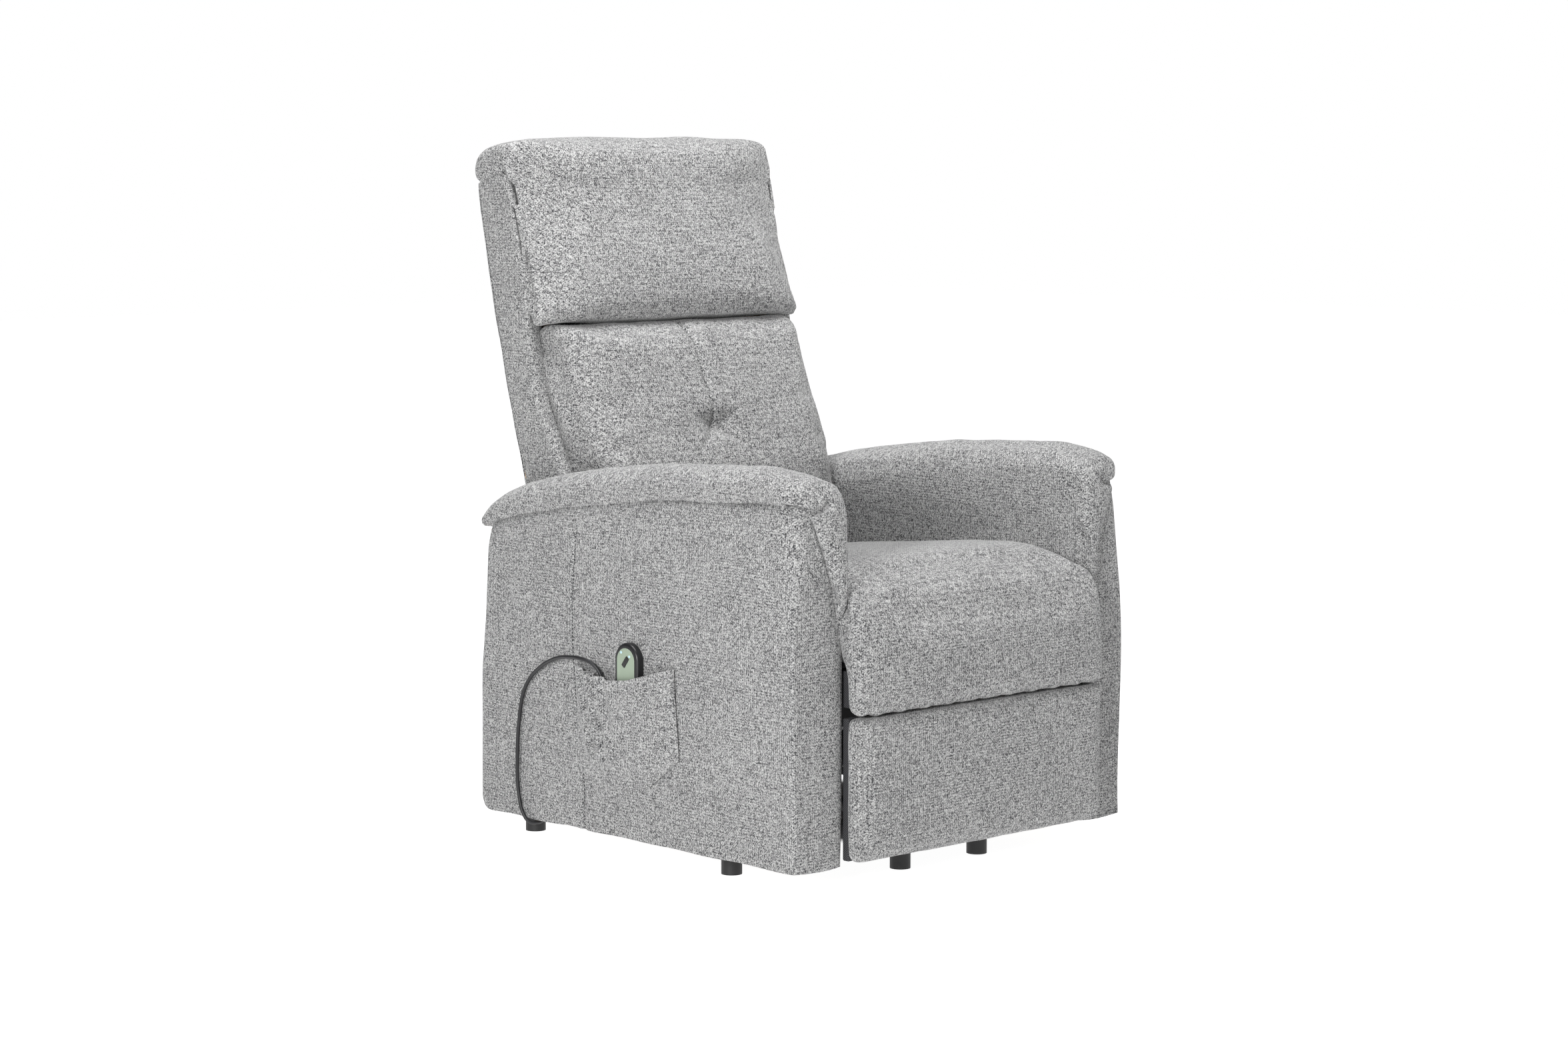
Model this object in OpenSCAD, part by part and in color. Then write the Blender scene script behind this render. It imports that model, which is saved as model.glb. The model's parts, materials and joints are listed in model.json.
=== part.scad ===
// Electric lift recliner: a floor frame, a lift linkage, a carriage with seat and arms,
// a reclining back and a fold-out footrest. Front faces -Y, the sitter's right is -X.

/* [Chair] */
// Width over the outer panels of the two arms
body_w = 710; // [600:5:860]
// Depth of the arms, front face to rear edge
arm_d = 744; // [660:4:900]
// Thickness of one arm
arm_w = 99; // [90:1:125]
// Height of the arms' lower hem above the floor
hem_h = 34; // [32:1:42]
// Height of the arm pad's outer seam at the front
arm_h = 572; // [520:4:690]

/* [Seat] */
// Height of the seat deck above the floor
deck_h = 325; // [325:1:330]
// Thickness of the seat cushion at its crest
cushion_t = 145; // [120:1:175]
// How far the seat's nose stands in front of the arms
nose_d = 48; // [44:1:56]
// Gap between the seat and each arm
seat_gap = 2; // [1:0.5:4]

/* [Back] */
// Length of the back from the recline pivot to its top
back_l = 712; // [600:4:860]
// How far the upper back spreads over each arm
wing_w = 36; // [20:1:50]
// Rake of the back when it is upright
back_rake = 12; // [6:1:16]
// Length of the headrest pillow
headrest_l = 306; // [250:2:370]

/* [Footrest] */
// Height of the footrest panel when it is stowed
footrest_h = 223; // [190:1:226]
// Thickness of the footrest pad
footrest_t = 39; // [30:1:40]

/* [Mechanism] */
// Thickness of the steel link bars and plates
bar_t = 4; // [3:0.5:5]
// Radius of the pivot pins
pin_r = 6; // [4:0.5:7]
// Radial clearance of each pin in its hole
pin_gap = 0.06; // [0.03:0.01:0.1]
// Side of the square floor-frame tube
rail_h = 20; // [16:1:22]
// Radius of the plastic feet
foot_r = 16; // [12:1:20]

/* [Pocket and hand control] */
// Width of the side pocket
pocket_w = 236; // [200:2:270]
// Height of the side pocket at its middle
pocket_h = 140; // [110:2:150]
// How far the pocket stands off the arm
pocket_bulge = 24; // [22:1:28]
// Height of the hand control
handset_h = 125; // [100:1:140]
// Width of the hand control
handset_w = 55; // [40:1:60]
// Thickness of the hand control
handset_t = 16; // [12:0.5:18]
// Diameter of the hand control's cord
cord_d = 6; // [5:0.5:7]

/* [Hidden] */
$fn = 48;
SOFT_FN = 32;
half_w = body_w / 2;
arm_in = half_w - arm_w;
back_w = 2 * (arm_in + wing_w);
front_y = -394;
rear_y = front_y + arm_d;
seat_half = arm_in - seat_gap;
nose_y = front_y - nose_d;
foot_h = 30;
rail_x = half_w - 54;
rail_w = 26;
board_t = 6;
clear = 0.4;
// Lower edges of the arms' inner and rear panels, above the floor frame and the cord
inner_hem = foot_h + rail_h + 50;
rear_hem = hem_h + 26;
ply_t = 12;
// Mechanism planes, measured outwards from the middle of the chair
plate_x = arm_in - 20;
outer_x = plate_x + bar_t + 1;
knee_x = outer_x + bar_t + 1;
short_x = plate_x - bar_t - 2;
long_x = short_x - bar_t - 2;
bracket_x = long_x - bar_t - 2;
tube_r = 12;
tube_wall = 2;
head_t = 2.5;
// Pivots [y, z]
recline_p = [240, 400];
lift_base_p = [-270, 80];
lift_car_p = [100, 120];
guide_base_p = [-308, 81];
guide_car_p = [-120, 110];
torque_p = [-225, 85];
act_base_p = [258, 76];
act_tip_p = [-236, 142];
fold_a_p = [-318, 272];
fold_b_p = [-292, 250];
knee_a_p = [-330, 80];
knee_b_p = [-304, 58];
foot_pivot_p = [-376, 222];
open_gap = 2;
front_cross_y = -198;
rear_cross_y = 271;
front_bar_y = -341;
front_foot_x = 84;
act_len = norm(act_base_p - act_tip_p);
act_tilt = atan2(act_tip_p[1] - act_base_p[1], act_base_p[0] - act_tip_p[0]);
// Slope of the arm pad where it passes under the back, and behind it
back_slope = 0.222;
tail_slope = 0.29;
pad_back_y = min(rear_y - 40, recline_p[0] + 34);
pad_back_drop = 38 + back_slope * (pad_back_y - 148);
// Underside and crest of the arm pad along its length: [y, drop of the seam, thickness]
PAD = [[front_y - 16, 0, 46], [front_y + 40, 0, 56], [front_y + 94, 0, 57], [-69, 10, 55],
       [148, 38, 54], [pad_back_y, pad_back_drop, 50],
       [rear_y, pad_back_drop + tail_slope * (rear_y - pad_back_y), 30]];
pad_over = 10;
// Hand control and pocket places
pocket_y0 = -144;
pocket_z0 = 154;
handset_y = -37;
handset_z = 217;
handset_x = -half_w - 2;
// Route of the hand control's cord, [x, y, z]
CORD = [[-365, -37, 199], [-365, -37, 187], [-366, -29, 175], [-367, -14, 170], [-368, 1, 177],
        [-368, 9, 196], [-369, 14, 225], [-369, 19, 260], [-371, 27, 290], [-377, 40, 304],
        [-382, 60, 309], [-380, 88, 308], [-376, 116, 304], [-372, 146, 295], [-369, 176, 280], [-367, 204, 258],
        [-366, 221, 232], [-366, 229, 200], [-366, 234, 165], [-366, 236, 130], [-366, 236, 95],
        [-366, 231, 64], [-366, 222, 42], [-360, 214, 29], [-350, 210, 27], [-338, 208, 29],
        [-329, 207, 40], [-323, 207, 54], [-312, 207, 61], [-296, 207, 62], [-272, 207, 63],
        [-250, 207, 70], [-234, 207, 86], [-226, 207, 106], [-220, 207, 122], [-212, 207, 132],
        [-204, 207, 132]];
CORD_SIDES = 8;

// Extrudes a [y, z] outline along +X from x, and mirrors it to the other side
module plate(x, t) {
    translate([x, 0, 0]) rotate([90, 0, 90]) linear_extrude(t) children();
}
module both() {
    children();
    mirror([1, 0, 0]) children();
}
module left() {
    mirror([0, 0, 0]) children();
}
module right() {
    mirror([1, 0, 0]) children();
}

// Flat link outline between two pivots: round ends and a slightly narrower bar
module link(a, b, w) {
    d = b - a;
    translate(a) circle(w / 2);
    translate(b) circle(w / 2);
    waist = 0.95 * w;
    translate(a) rotate(atan2(d[1], d[0])) translate([0, -waist / 2]) square([norm(d), waist]);
}
module hole(p, r) {
    translate(p) circle(r);
}
module pin(p, r, x0, x1) {
    translate([x0, p[0], p[1]]) rotate([0, 90, 0]) cylinder(r = r, h = x1 - x0);
}
// Pivot pin with a head at each end, running along X
module headed_pin(p, x0, x1) {
    pin(p, pin_r, x0, x1);
    pin(p, pin_r + 3, x0 - head_t, x0);
    pin(p, pin_r + 3, x1, x1 + head_t);
}
// Hollow tube of rectangular section
module box_tube(size, along) {
    inner = [for (i = [0:2]) i == along ? size[i] + 2 : size[i] - 2 * tube_wall];
    difference() {
        cube(size, center = true);
        cube(inner, center = true);
    }
}
module round_tube(p, x0, x1) {
    difference() {
        pin(p, tube_r, x0, x1);
        pin(p, tube_r - tube_wall, x0 - 1, x1 + 1);
    }
}
// Outline with its corners rounded
module soft_outline(points, r) {
    offset(r = r, $fn = SOFT_FN) offset(delta = -r) polygon(points);
}
// Tilts a piece of the back from its own upright frame to its resting rake
module on_back() {
    translate([0, recline_p[0], recline_p[1]]) rotate([-back_rake, 0, 0]) children();
}
// Places a piece in the actuator's frame: -Y runs from the tail pivot to the tip
module on_actuator() {
    translate([0, act_base_p[0], act_base_p[1]]) rotate([-act_tilt, 0, 0]) children();
}

// Floor frame
rail_z = foot_h + rail_h / 2;
module floor_rails() {
    color("dimgray") both() translate([rail_x, (rear_cross_y + front_cross_y) / 2, rail_z])
        box_tube([rail_w, rear_cross_y - front_cross_y + rail_w, rail_h], 1);
}
module cross_tube(y) {
    translate([0, y, rail_z]) box_tube([2 * rail_x - rail_w, rail_w, rail_h], 0);
}
module floor_rear_tube() {
    color("dimgray") cross_tube(rear_cross_y);
}
module floor_front_tube() {
    color("dimgray") cross_tube(front_cross_y);
}
module front_outrigger() {
    strut_l = front_cross_y - rail_w / 2 - front_bar_y - rail_h / 2;
    color("dimgray") {
        both() translate([front_foot_x, front_bar_y + rail_h / 2 + strut_l / 2, rail_z])
            box_tube([rail_h, strut_l, rail_h], 1);
        translate([0, front_bar_y, rail_z]) box_tube([2 * front_foot_x + 40, rail_h, rail_h], 0);
    }
}
module lift_brackets() {
    top = foot_h + rail_h;
    color("dimgray") both() plate(bracket_x, bar_t) difference() {
        union() {
            polygon([[-318, top], [front_cross_y + rail_w / 2, top],
                [front_cross_y + rail_w / 2, top + 10], [-244, top + 12], [-262, 74],
                [-300, 74], [-318, 70]]);
            hole(lift_base_p, 15);
            hole(guide_base_p, 15);
            polygon([lift_base_p - [0, 15], lift_base_p + [0, 15], guide_base_p + [0, 15],
                guide_base_p - [0, 15]]);
        }
        hole(lift_base_p, pin_r + pin_gap);
        hole(guide_base_p, pin_r + pin_gap);
    }
}
module lift_pivot_pins() {
    color("silver") both() {
        pin(lift_base_p, pin_r, bracket_x - 1, long_x + bar_t + 1);
        pin(lift_base_p, pin_r + 3, bracket_x - 1 - head_t, bracket_x - 1);
        headed_pin(guide_base_p, bracket_x - 1, short_x + bar_t + 1);
    }
}
module glide_feet() {
    places = [[rail_x, rear_cross_y], [rail_x, front_cross_y], [front_foot_x, front_bar_y]];
    color("black") both() for (p = places) translate([p[0], p[1], 0]) {
        cylinder(r = foot_r, h = foot_h - 6);
        cylinder(r = foot_r / 2, h = foot_h);
    }
}
module actuator_mount() {
    top = foot_h + rail_h;
    back = rear_cross_y + rail_w / 2;
    color("dimgray") both() plate(15, bar_t) difference() {
        union() {
            polygon([[act_base_p[0] - 12, top], [back, top], [back, top + 14],
                act_base_p + [12, 0], act_base_p - [12, 0]]);
            hole(act_base_p, 12);
        }
        hole(act_base_p, pin_r + pin_gap);
    }
}

// Lift linkage
module lift_links() {
    color("dimgray") both() plate(long_x, bar_t) difference() {
        link(lift_base_p, lift_car_p, 24);
        hole(lift_base_p, pin_r + pin_gap);
        hole(lift_car_p, pin_r + pin_gap);
    }
}
module lift_torque_tube() {
    color("dimgray") round_tube(torque_p, -long_x, long_x);
}
module actuator_lug() {
    slot = [2.7, 4.2];
    color("dimgray") both() plate(11, bar_t) difference() {
        union() {
            link(torque_p + [0, tube_r + 8], act_tip_p, 34);
            link(torque_p, torque_p + [0, tube_r + 8], 34);
        }
        hole(torque_p, tube_r + pin_gap);
        link(act_tip_p - slot, act_tip_p + slot, 2 * (pin_r + 1.2));
    }
}
module guide_links() {
    color("dimgray") both() plate(short_x, bar_t) difference() {
        link(guide_base_p, guide_car_p, 22);
        hole(guide_base_p, pin_r + pin_gap);
        hole(guide_car_p, pin_r + open_gap);
    }
}

// Linear actuator
module actuator_housing() {
    color([0.13, 0.13, 0.14]) on_actuator() difference() {
        union() {
            translate([-13, -24, -12]) cube([26, 24, 24]);
            rotate([0, 90, 0]) cylinder(r = 12, h = 26, center = true);
            translate([-24, -100, -20]) cube([48, 76, 44]);
            translate([0, -90, 0]) rotate([90, 0, 0]) cylinder(r = 17, h = 240);
        }
        translate([0, -120, 0]) rotate([90, 0, 0]) cylinder(r = 10 + pin_gap, h = 211);
        rotate([0, 90, 0]) cylinder(r = pin_r + pin_gap, h = 30, center = true);
    }
    color("silver") headed_pin(act_base_p, -19.5, 19.5);
}
module actuator_motor() {
    color([0.2, 0.2, 0.21]) on_actuator() translate([0, -64, 24]) {
        cylinder(r = 22, h = 74);
        translate([0, 0, 74]) cylinder(r = 12, h = 4);
    }
}
module actuator_rod() {
    color("silver") {
        on_actuator() difference() {
            union() {
                translate([0, -124, 0]) rotate([90, 0, 0]) cylinder(r = 10, h = act_len - 134);
                translate([0, -act_len, 0]) rotate([0, 90, 0]) cylinder(r = 13, h = 16, center = true);
            }
            translate([0, -act_len, 0]) rotate([0, 90, 0])
                cylinder(r = pin_r + pin_gap, h = 20, center = true);
        }
        headed_pin(act_tip_p, -15.5, 15.5);
    }
}

// Carriage
recline_hub_r = 14.5;
module plate_outline() {
    difference() {
        union() {
            polygon([[-332, deck_h - 40], [-332, 270], [-306, 240], [-270, 236], [-190, 214],
                [-138, 110], [-102, 110], [-70, 190], [60, 190], [82, 120], [118, 120],
                [165, 190], [206, 290], [252, 396], [228, 400], [168, deck_h - 40]]);
            for (p = [guide_car_p, lift_car_p]) hole(p, 18);
            hole(recline_p, recline_hub_r);
            hole(fold_a_p, 13);
            hole(fold_b_p, 14);
        }
        for (p = [guide_car_p, lift_car_p, recline_p, fold_a_p, fold_b_p])
            hole(p, pin_r + pin_gap);
    }
}
module mechanism_plate() {
    color([0.16, 0.16, 0.17]) plate(plate_x, bar_t) plate_outline();
}
module mechanism_plate_right() {
    right() mechanism_plate();
}
module mechanism_plate_left() {
    left() mechanism_plate();
}
module carriage_tubes() {
    color("dimgray") for (p = [[-170, 240], [140, 225]]) round_tube(p, -plate_x, plate_x);
}
module carriage_pins() {
    color("silver") both() {
        headed_pin(lift_car_p, long_x - 1, plate_x + bar_t + 0.5);
        pin(guide_car_p, pin_r, short_x - 1, plate_x + bar_t + 1);
        pin(guide_car_p, pin_r + 3, plate_x + bar_t + 1, plate_x + bar_t + 1 + head_t);
        headed_pin(recline_p, plate_x - 1, outer_x + bar_t + 0.5);
        headed_pin(fold_a_p, plate_x - 1, outer_x + bar_t + 0.5);
        headed_pin(fold_b_p, plate_x - 1, outer_x + bar_t + 0.5);
    }
}
rail_t = 24;
seat_rear_y = 165;
module arm_hangers() {
    gap = arm_in - seat_half + 4;
    color("dimgray") both() for (y = [-300, 60])
        translate([seat_half - 4, y, deck_h - 34]) cube([gap, 60, 28]);
}
module seat_side_rails() {
    color("burlywood") both() translate([seat_half - rail_t - 4, front_y + 16, deck_h - 40])
        cube([rail_t, seat_rear_y - front_y - 16, 40]);
}
module seat_cross_rails() {
    side = seat_half - rail_t - 4;
    color("burlywood") {
        translate([4 - seat_half, front_y - 8, deck_h - 54])
            cube([2 * (seat_half - 4), rail_t, 54]);
        translate([-side, seat_rear_y - rail_t, deck_h - 40]) cube([2 * side, rail_t, 40]);
    }
}
module seat_webbing() {
    pitch = (2 * seat_half - 60) / 5;
    color("black") for (i = [-2:2])
        translate([i * pitch - 25, front_y + 2, deck_h]) cube([50, seat_rear_y - front_y - 6, 3]);
}
module seat_cushion() {
    top = deck_h + cushion_t;
    base = deck_h + 3 + clear;
    color("lightgray") {
        translate([-seat_half, 0, 0]) plate(0, 2 * seat_half) soft_outline([[front_y - 30, base],
            [118, base], [118, top - 40], [-71, top - 18], [-221, top - 2], [-300, top + 3],
            [front_y, top - 8], [front_y - 30, top - 40]], 8);
        translate([-seat_half - 8, 0, 0]) plate(0, 2 * seat_half + 16) soft_outline(
            [[nose_y, deck_h - 58], [front_y - 9, deck_h - 58], [front_y - 9, base],
            [front_y - 3, base], [front_y - 3, top - 10], [nose_y + 22, top - 26],
            [nose_y + 4, top - 62]], 3);
    }
}

// Arms
function pad_z(i) = arm_h - PAD[i][1];
module pad_disc(i, inset) {
    r = PAD[i][2] / 2;
    for (x = [arm_in + r + 1, half_w + pad_over - r])
        translate([x, PAD[i][0], pad_z(i) + r]) rotate([-90, 0, 0])
            cylinder(r = r - inset, h = 0.1, $fn = SOFT_FN);
}
module arm_pad() {
    color("lightgray") for (i = [0:len(PAD) - 2]) hull() {
        pad_disc(i, 0);
        pad_disc(i + 1, 0);
    }
}
module arm_pad_right() {
    right() arm_pad();
}
module arm_pad_left() {
    left() arm_pad();
}
module arm_outline(y0, y1, z0, drop) {
    n = len(PAD);
    polygon(concat([[y1, z0], [y0, z0], [y0, arm_h - drop]],
        [for (i = [1:n - 2]) if (PAD[i][0] > y0 && PAD[i][0] < y1) [PAD[i][0], pad_z(i) - drop]],
        [[y1, lookup(y1, [for (i = [0:n - 1]) [PAD[i][0], pad_z(i)]]) - drop]]));
}
module arm_side_panels() {
    color("lightgray") both() plate(half_w - board_t, board_t)
        arm_outline(front_y, rear_y, hem_h, 2 * clear);
}
module arm_inner_panels() {
    color("lightgray") both() plate(arm_in, board_t)
        arm_outline(front_y, rear_y, inner_hem, 2 * clear);
}
module arm_front_panels() {
    color("lightgray") both() translate([arm_in + board_t, front_y, hem_h])
        cube([arm_w - 2 * board_t, board_t, arm_h - hem_h - 2 * clear]);
}
module arm_rear_panels() {
    color("lightgray") both() translate([arm_in + board_t, rear_y - board_t, rear_hem])
        cube([arm_w - 2 * board_t, board_t, pad_z(len(PAD) - 1) - rear_hem - 2 * clear]);
}
post_x = arm_in + 20;
post_w = arm_w - 40;
module arm_posts() {
    low = foot_h + rail_h + 25;
    color("burlywood") both() {
        translate([post_x, front_y + board_t + 2, low + 20])
            cube([post_w, 22, arm_h - 26 - low - 20]);
        translate([post_x, rear_y - 36, low + 20])
            cube([post_w, 22, pad_z(len(PAD) - 1) - 26 - low - 20]);
    }
}
module arm_rails() {
    low = foot_h + rail_h + 25;
    color("burlywood") both() {
        translate([post_x, front_y + board_t + 2, low]) cube([post_w, arm_d - 22, 20]);
        plate(post_x, post_w) difference() {
            arm_outline(front_y + board_t + 2, rear_y - 14, 300, 4);
            arm_outline(front_y, rear_y, 200, 26);
        }
    }
}
module arm_scrolls() {
    color("lightgray") both() translate([0, front_y - clear / 2, 0]) rotate([90, 0, 0])
        linear_extrude(15) soft_outline([[arm_in + 9, arm_h - 165], [arm_in + 20, arm_h - 170],
            [arm_in + 44, arm_h - 110], [half_w - 20, arm_h - 40], [half_w - 6, arm_h - 1],
            [arm_in + 9, arm_h - 1]], 5);
}
module rear_valance() {
    color("lightgray") translate([-arm_in, rear_y - 12, rear_hem])
        cube([2 * arm_in, board_t, 270]);
}

// Side pocket, hand control and its cord
module pocket_outline(inset, depth) {
    polygon([[pocket_y0 + inset, 0], [pocket_y0 + pocket_w - inset, 0],
        [pocket_y0 + pocket_w - 34, depth], [pocket_y0 + 34, depth]]);
}
module side_pocket() {
    wall = 1.6;
    color("lightgray") translate([-half_w, 0, pocket_z0]) difference() {
        rotate([0, 0, 90]) linear_extrude(pocket_h) pocket_outline(0, pocket_bulge);
        translate([0.5, 0, wall]) rotate([0, 0, 90]) linear_extrude(pocket_h)
            pocket_outline(7, pocket_bulge - wall + 0.5);
    }
}
module handset_profile(inset, h) {
    linear_extrude(h) hull() for (z = [handset_w / 2, handset_h - handset_w / 2])
        translate([0, z]) circle(handset_w / 2 - inset);
}
module on_handset(depth) {
    translate([handset_x - depth, handset_y, handset_z]) rotate([90, 0, -90]) children();
}
rocker_z = 96;
rocker_pin_r = 1.2;
// Pivot of the rocker button, across the hand control
module rocker_pivot(r, h) {
    on_handset(handset_t - 4.5) translate([-h / 2, rocker_z, 0]) rotate([0, 90, 0])
        cylinder(r = r, h = h);
}
module handset_body() {
    color([0.08, 0.08, 0.08]) difference() {
        on_handset(0) handset_profile(0, handset_t);
        on_handset(handset_t - 2) handset_profile(7, 3);
        on_handset(handset_t - 8) translate([-11, rocker_z - 8, 0]) cube([22, 16, 9]);
        rocker_pivot(rocker_pin_r + pin_gap, 26);
    }
}
module handset_face() {
    color([0.55, 0.63, 0.52]) difference() {
        on_handset(handset_t - 2) handset_profile(7.2, 1.8);
        on_handset(handset_t - 8) translate([-11, rocker_z - 8, 0]) cube([22, 16, 9]);
    }
}
module handset_rocker() {
    color([0.1, 0.1, 0.1]) {
        on_handset(handset_t - 5) translate([-10, rocker_z - 7, 0]) cube([20, 14, 4.6]);
        rocker_pivot(rocker_pin_r, 25);
    }
}
// Tube swept along the route: a ring of points at each route point, square to the path
function unit(v) = v / norm(v);
function cord_dir(i) = unit(CORD[min(i + 1, len(CORD) - 1)] - CORD[max(i - 1, 0)]);
function cord_ring(i) =
    let (d = cord_dir(i),
        side = unit(cross(d, abs(d[0]) > 0.9 ? [0, 1, 0] : [1, 0, 0])),
        up = cross(side, d))
    [for (k = [0:CORD_SIDES - 1]) let (a = 360 * k / CORD_SIDES)
        CORD[i] + cord_d / 2 * (cos(a) * side + sin(a) * up)];
module handset_cord() {
    n = len(CORD);
    s = CORD_SIDES;
    points = [for (i = [0:n - 1]) each cord_ring(i)];
    walls = [for (i = [0:n - 2]) for (k = [0:s - 1])
        [i * s + k, i * s + (k + 1) % s, (i + 1) * s + (k + 1) % s, (i + 1) * s + k]];
    first = [for (k = [s - 1:-1:0]) k];
    last = [for (k = [0:s - 1]) (n - 1) * s + k];
    color([0.05, 0.05, 0.05]) polyhedron(points, concat([first, last], walls));
}
module cord_relief() {
    tip = CORD[0];
    color([0.05, 0.05, 0.05]) translate([tip[0], tip[1], tip[2]])
        cylinder(r1 = cord_d / 2 + 0.6, r2 = cord_d / 2 + 2, h = handset_z - tip[2]);
}
box_x = 190;
module cord_plug() {
    tip = CORD[len(CORD) - 1];
    color([0.05, 0.05, 0.05]) translate([tip[0], tip[1], tip[2]]) rotate([0, 90, 0])
        cylinder(r = 6, h = -box_x - tip[0]);
}
module control_box() {
    color([0.1, 0.1, 0.1]) translate([-box_x, 180, 104]) difference() {
        cube([90, 80, 50]);
        translate([30, 72, 12]) cube([32, 10, 26]);
    }
    color("dimgray") translate([-150, 137, 154]) cube([14, 46, 2]);
    color("dimgray") translate([-150, 136, 154]) cube([14, 2, 59]);
}

// Back, in its own upright frame with the recline pivot at the origin
post_y = 4;
post_d = 30;
wing_z = 175;
module recline_brackets() {
    color("dimgray") on_back() both() plate(outer_x, bar_t) difference() {
        union() {
            polygon([[0, 0], [recline_hub_r, 0], [post_y + post_d, 30], [post_y + post_d, 168],
                [post_y, 168], [post_y, 14]]);
            hole([0, 0], recline_hub_r);
        }
        hole([0, 0], pin_r + pin_gap);
    }
}
module back_posts() {
    lower = outer_x - rail_t;
    color("burlywood") on_back() both() {
        translate([lower, post_y, 30]) cube([rail_t, post_d, back_l - 92]);
        translate([outer_x + bar_t, post_y, wing_z])
            cube([back_w / 2 - board_t - outer_x - bar_t - 1, post_d, back_l - wing_z - 62]);
    }
}
module back_rails() {
    half = outer_x - rail_t;
    color("burlywood") on_back() {
        for (z = [40, back_l * 0.46]) translate([-half, post_y, z]) cube([2 * half, post_d, 30]);
        translate([-back_w / 2 + board_t, post_y, back_l - 62])
            cube([back_w - 2 * board_t, post_d, 4]);
    }
}
module back_webbing() {
    half = outer_x;
    color("black") on_back() for (z = [90:90:back_l - 110])
        translate([-half, post_y - 3, z]) cube([2 * half, 3, 50]);
}
module back_rear_panel() {
    color("lightgray") on_back() translate([0, post_y + post_d + 20, 0]) {
        translate([-back_w / 2, -4, wing_z - 4]) cube([back_w, 10, back_l - wing_z - 54]);
        translate([-seat_half, -4, -66]) cube([2 * seat_half, 10, wing_z + 62]);
    }
}
module back_side_panels() {
    color("lightgray") on_back() both() translate([back_w / 2 - board_t, -18, wing_z - 4])
        cube([board_t, post_y + post_d + 34, back_l - wing_z - 54]);
}
module back_cushion() {
    top = back_l - headrest_l - clear;
    back_y = post_y - 3 - clear;
    color("lightgray") on_back() {
        translate([-seat_half, 0, 0]) plate(0, 2 * seat_half) soft_outline([[back_y, 16],
            [back_y, wing_z + 10], [-118, wing_z + 10], [-130, 110], [-124, 40], [-104, 16]], 6);
        translate([-back_w / 2 + board_t + clear, 0, 0])
            plate(0, back_w - 2 * board_t - 2 * clear) soft_outline([[back_y, wing_z],
            [back_y, top], [-56, top], [-76, top - 20], [-93, top - 60], [-108, top - 110],
            [-112, top - 160], [-116, wing_z]], 6);
    }
}
module headrest_pillow() {
    low = back_l - headrest_l;
    cap = back_l - 56;
    back_y = post_y - 3 - clear;
    color("lightgray") on_back() translate([-back_w / 2 - 2, 0, 0]) plate(0, back_w + 4)
        soft_outline([[-19, low], [-66, low], [-80, low + 26], [-80, low + 70],
            [-64, low + 160], [-59, low + 245], [-52, back_l - 24], [-28, back_l],
            [22, back_l], [52, back_l - 10], [66, back_l - 30], [66, cap], [-19, cap]], 7);
    color("lightgray") on_back() translate([-back_w / 2 + board_t + clear, -19.1, low + 7])
        cube([back_w - 2 * board_t - 2 * clear, 19.1 + back_y, back_l - low - 80]);
}

// Footrest linkage and footrest
module pivot_bar(x, a, b, w) {
    plate(x, bar_t) difference() {
        link(a, b, w);
        hole(a, pin_r + pin_gap);
        hole(b, pin_r + pin_gap);
    }
}
module fold_links_upper() {
    color("dimgray") both() pivot_bar(outer_x, fold_a_p, knee_a_p, 18);
}
tie_p = (fold_a_p + knee_a_p) / 2 + [2, 0];
module fold_tie_tube() {
    color("dimgray") pin(tie_p, 8, -outer_x, outer_x);
}
module fold_links_lower() {
    color("dimgray") both() pivot_bar(outer_x, fold_b_p, knee_b_p, 18);
}
module knee_plates() {
    color("dimgray") both() pivot_bar(knee_x, knee_a_p, knee_b_p, 18);
}
module knee_pins() {
    color("silver") both() {
        headed_pin(knee_a_p, plate_x - 0.5, knee_x + bar_t + 0.1);
        headed_pin(knee_b_p, outer_x - 0.5, knee_x + bar_t + 0.1);
    }
}
module fold_links_front() {
    color("dimgray") both() pivot_bar(plate_x, knee_a_p, foot_pivot_p, 18);
}
board_y = nose_y + footrest_t + clear;
module footrest_brackets() {
    flange = board_y + ply_t;
    color("dimgray") both() {
        plate(outer_x, bar_t) difference() {
            union() {
                polygon([[flange, 196], foot_pivot_p + [0, -10], foot_pivot_p + [0, 10], [flange, 246]]);
                hole(foot_pivot_p, 10);
            }
            hole(foot_pivot_p, pin_r + pin_gap);
        }
        translate([outer_x - 26, flange, 150]) cube([26, 3, 96]);
    }
    color("silver") both() headed_pin(foot_pivot_p, plate_x - 0.5, outer_x + bar_t + 0.3);
}
module footrest_board() {
    color("burlywood") translate([-seat_half + 4, board_y, hem_h + 16])
        cube([2 * seat_half - 8, ply_t, footrest_h - 22]);
}
module footrest_pad() {
    low = hem_h + 4;
    color("lightgray") translate([-seat_half - 8, 0, 0]) plate(0, 2 * seat_half + 16)
        soft_outline([[nose_y, low], [board_y - clear, low], [board_y - clear, low + footrest_h],
            [nose_y, low + footrest_h]], 12);
}

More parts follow.
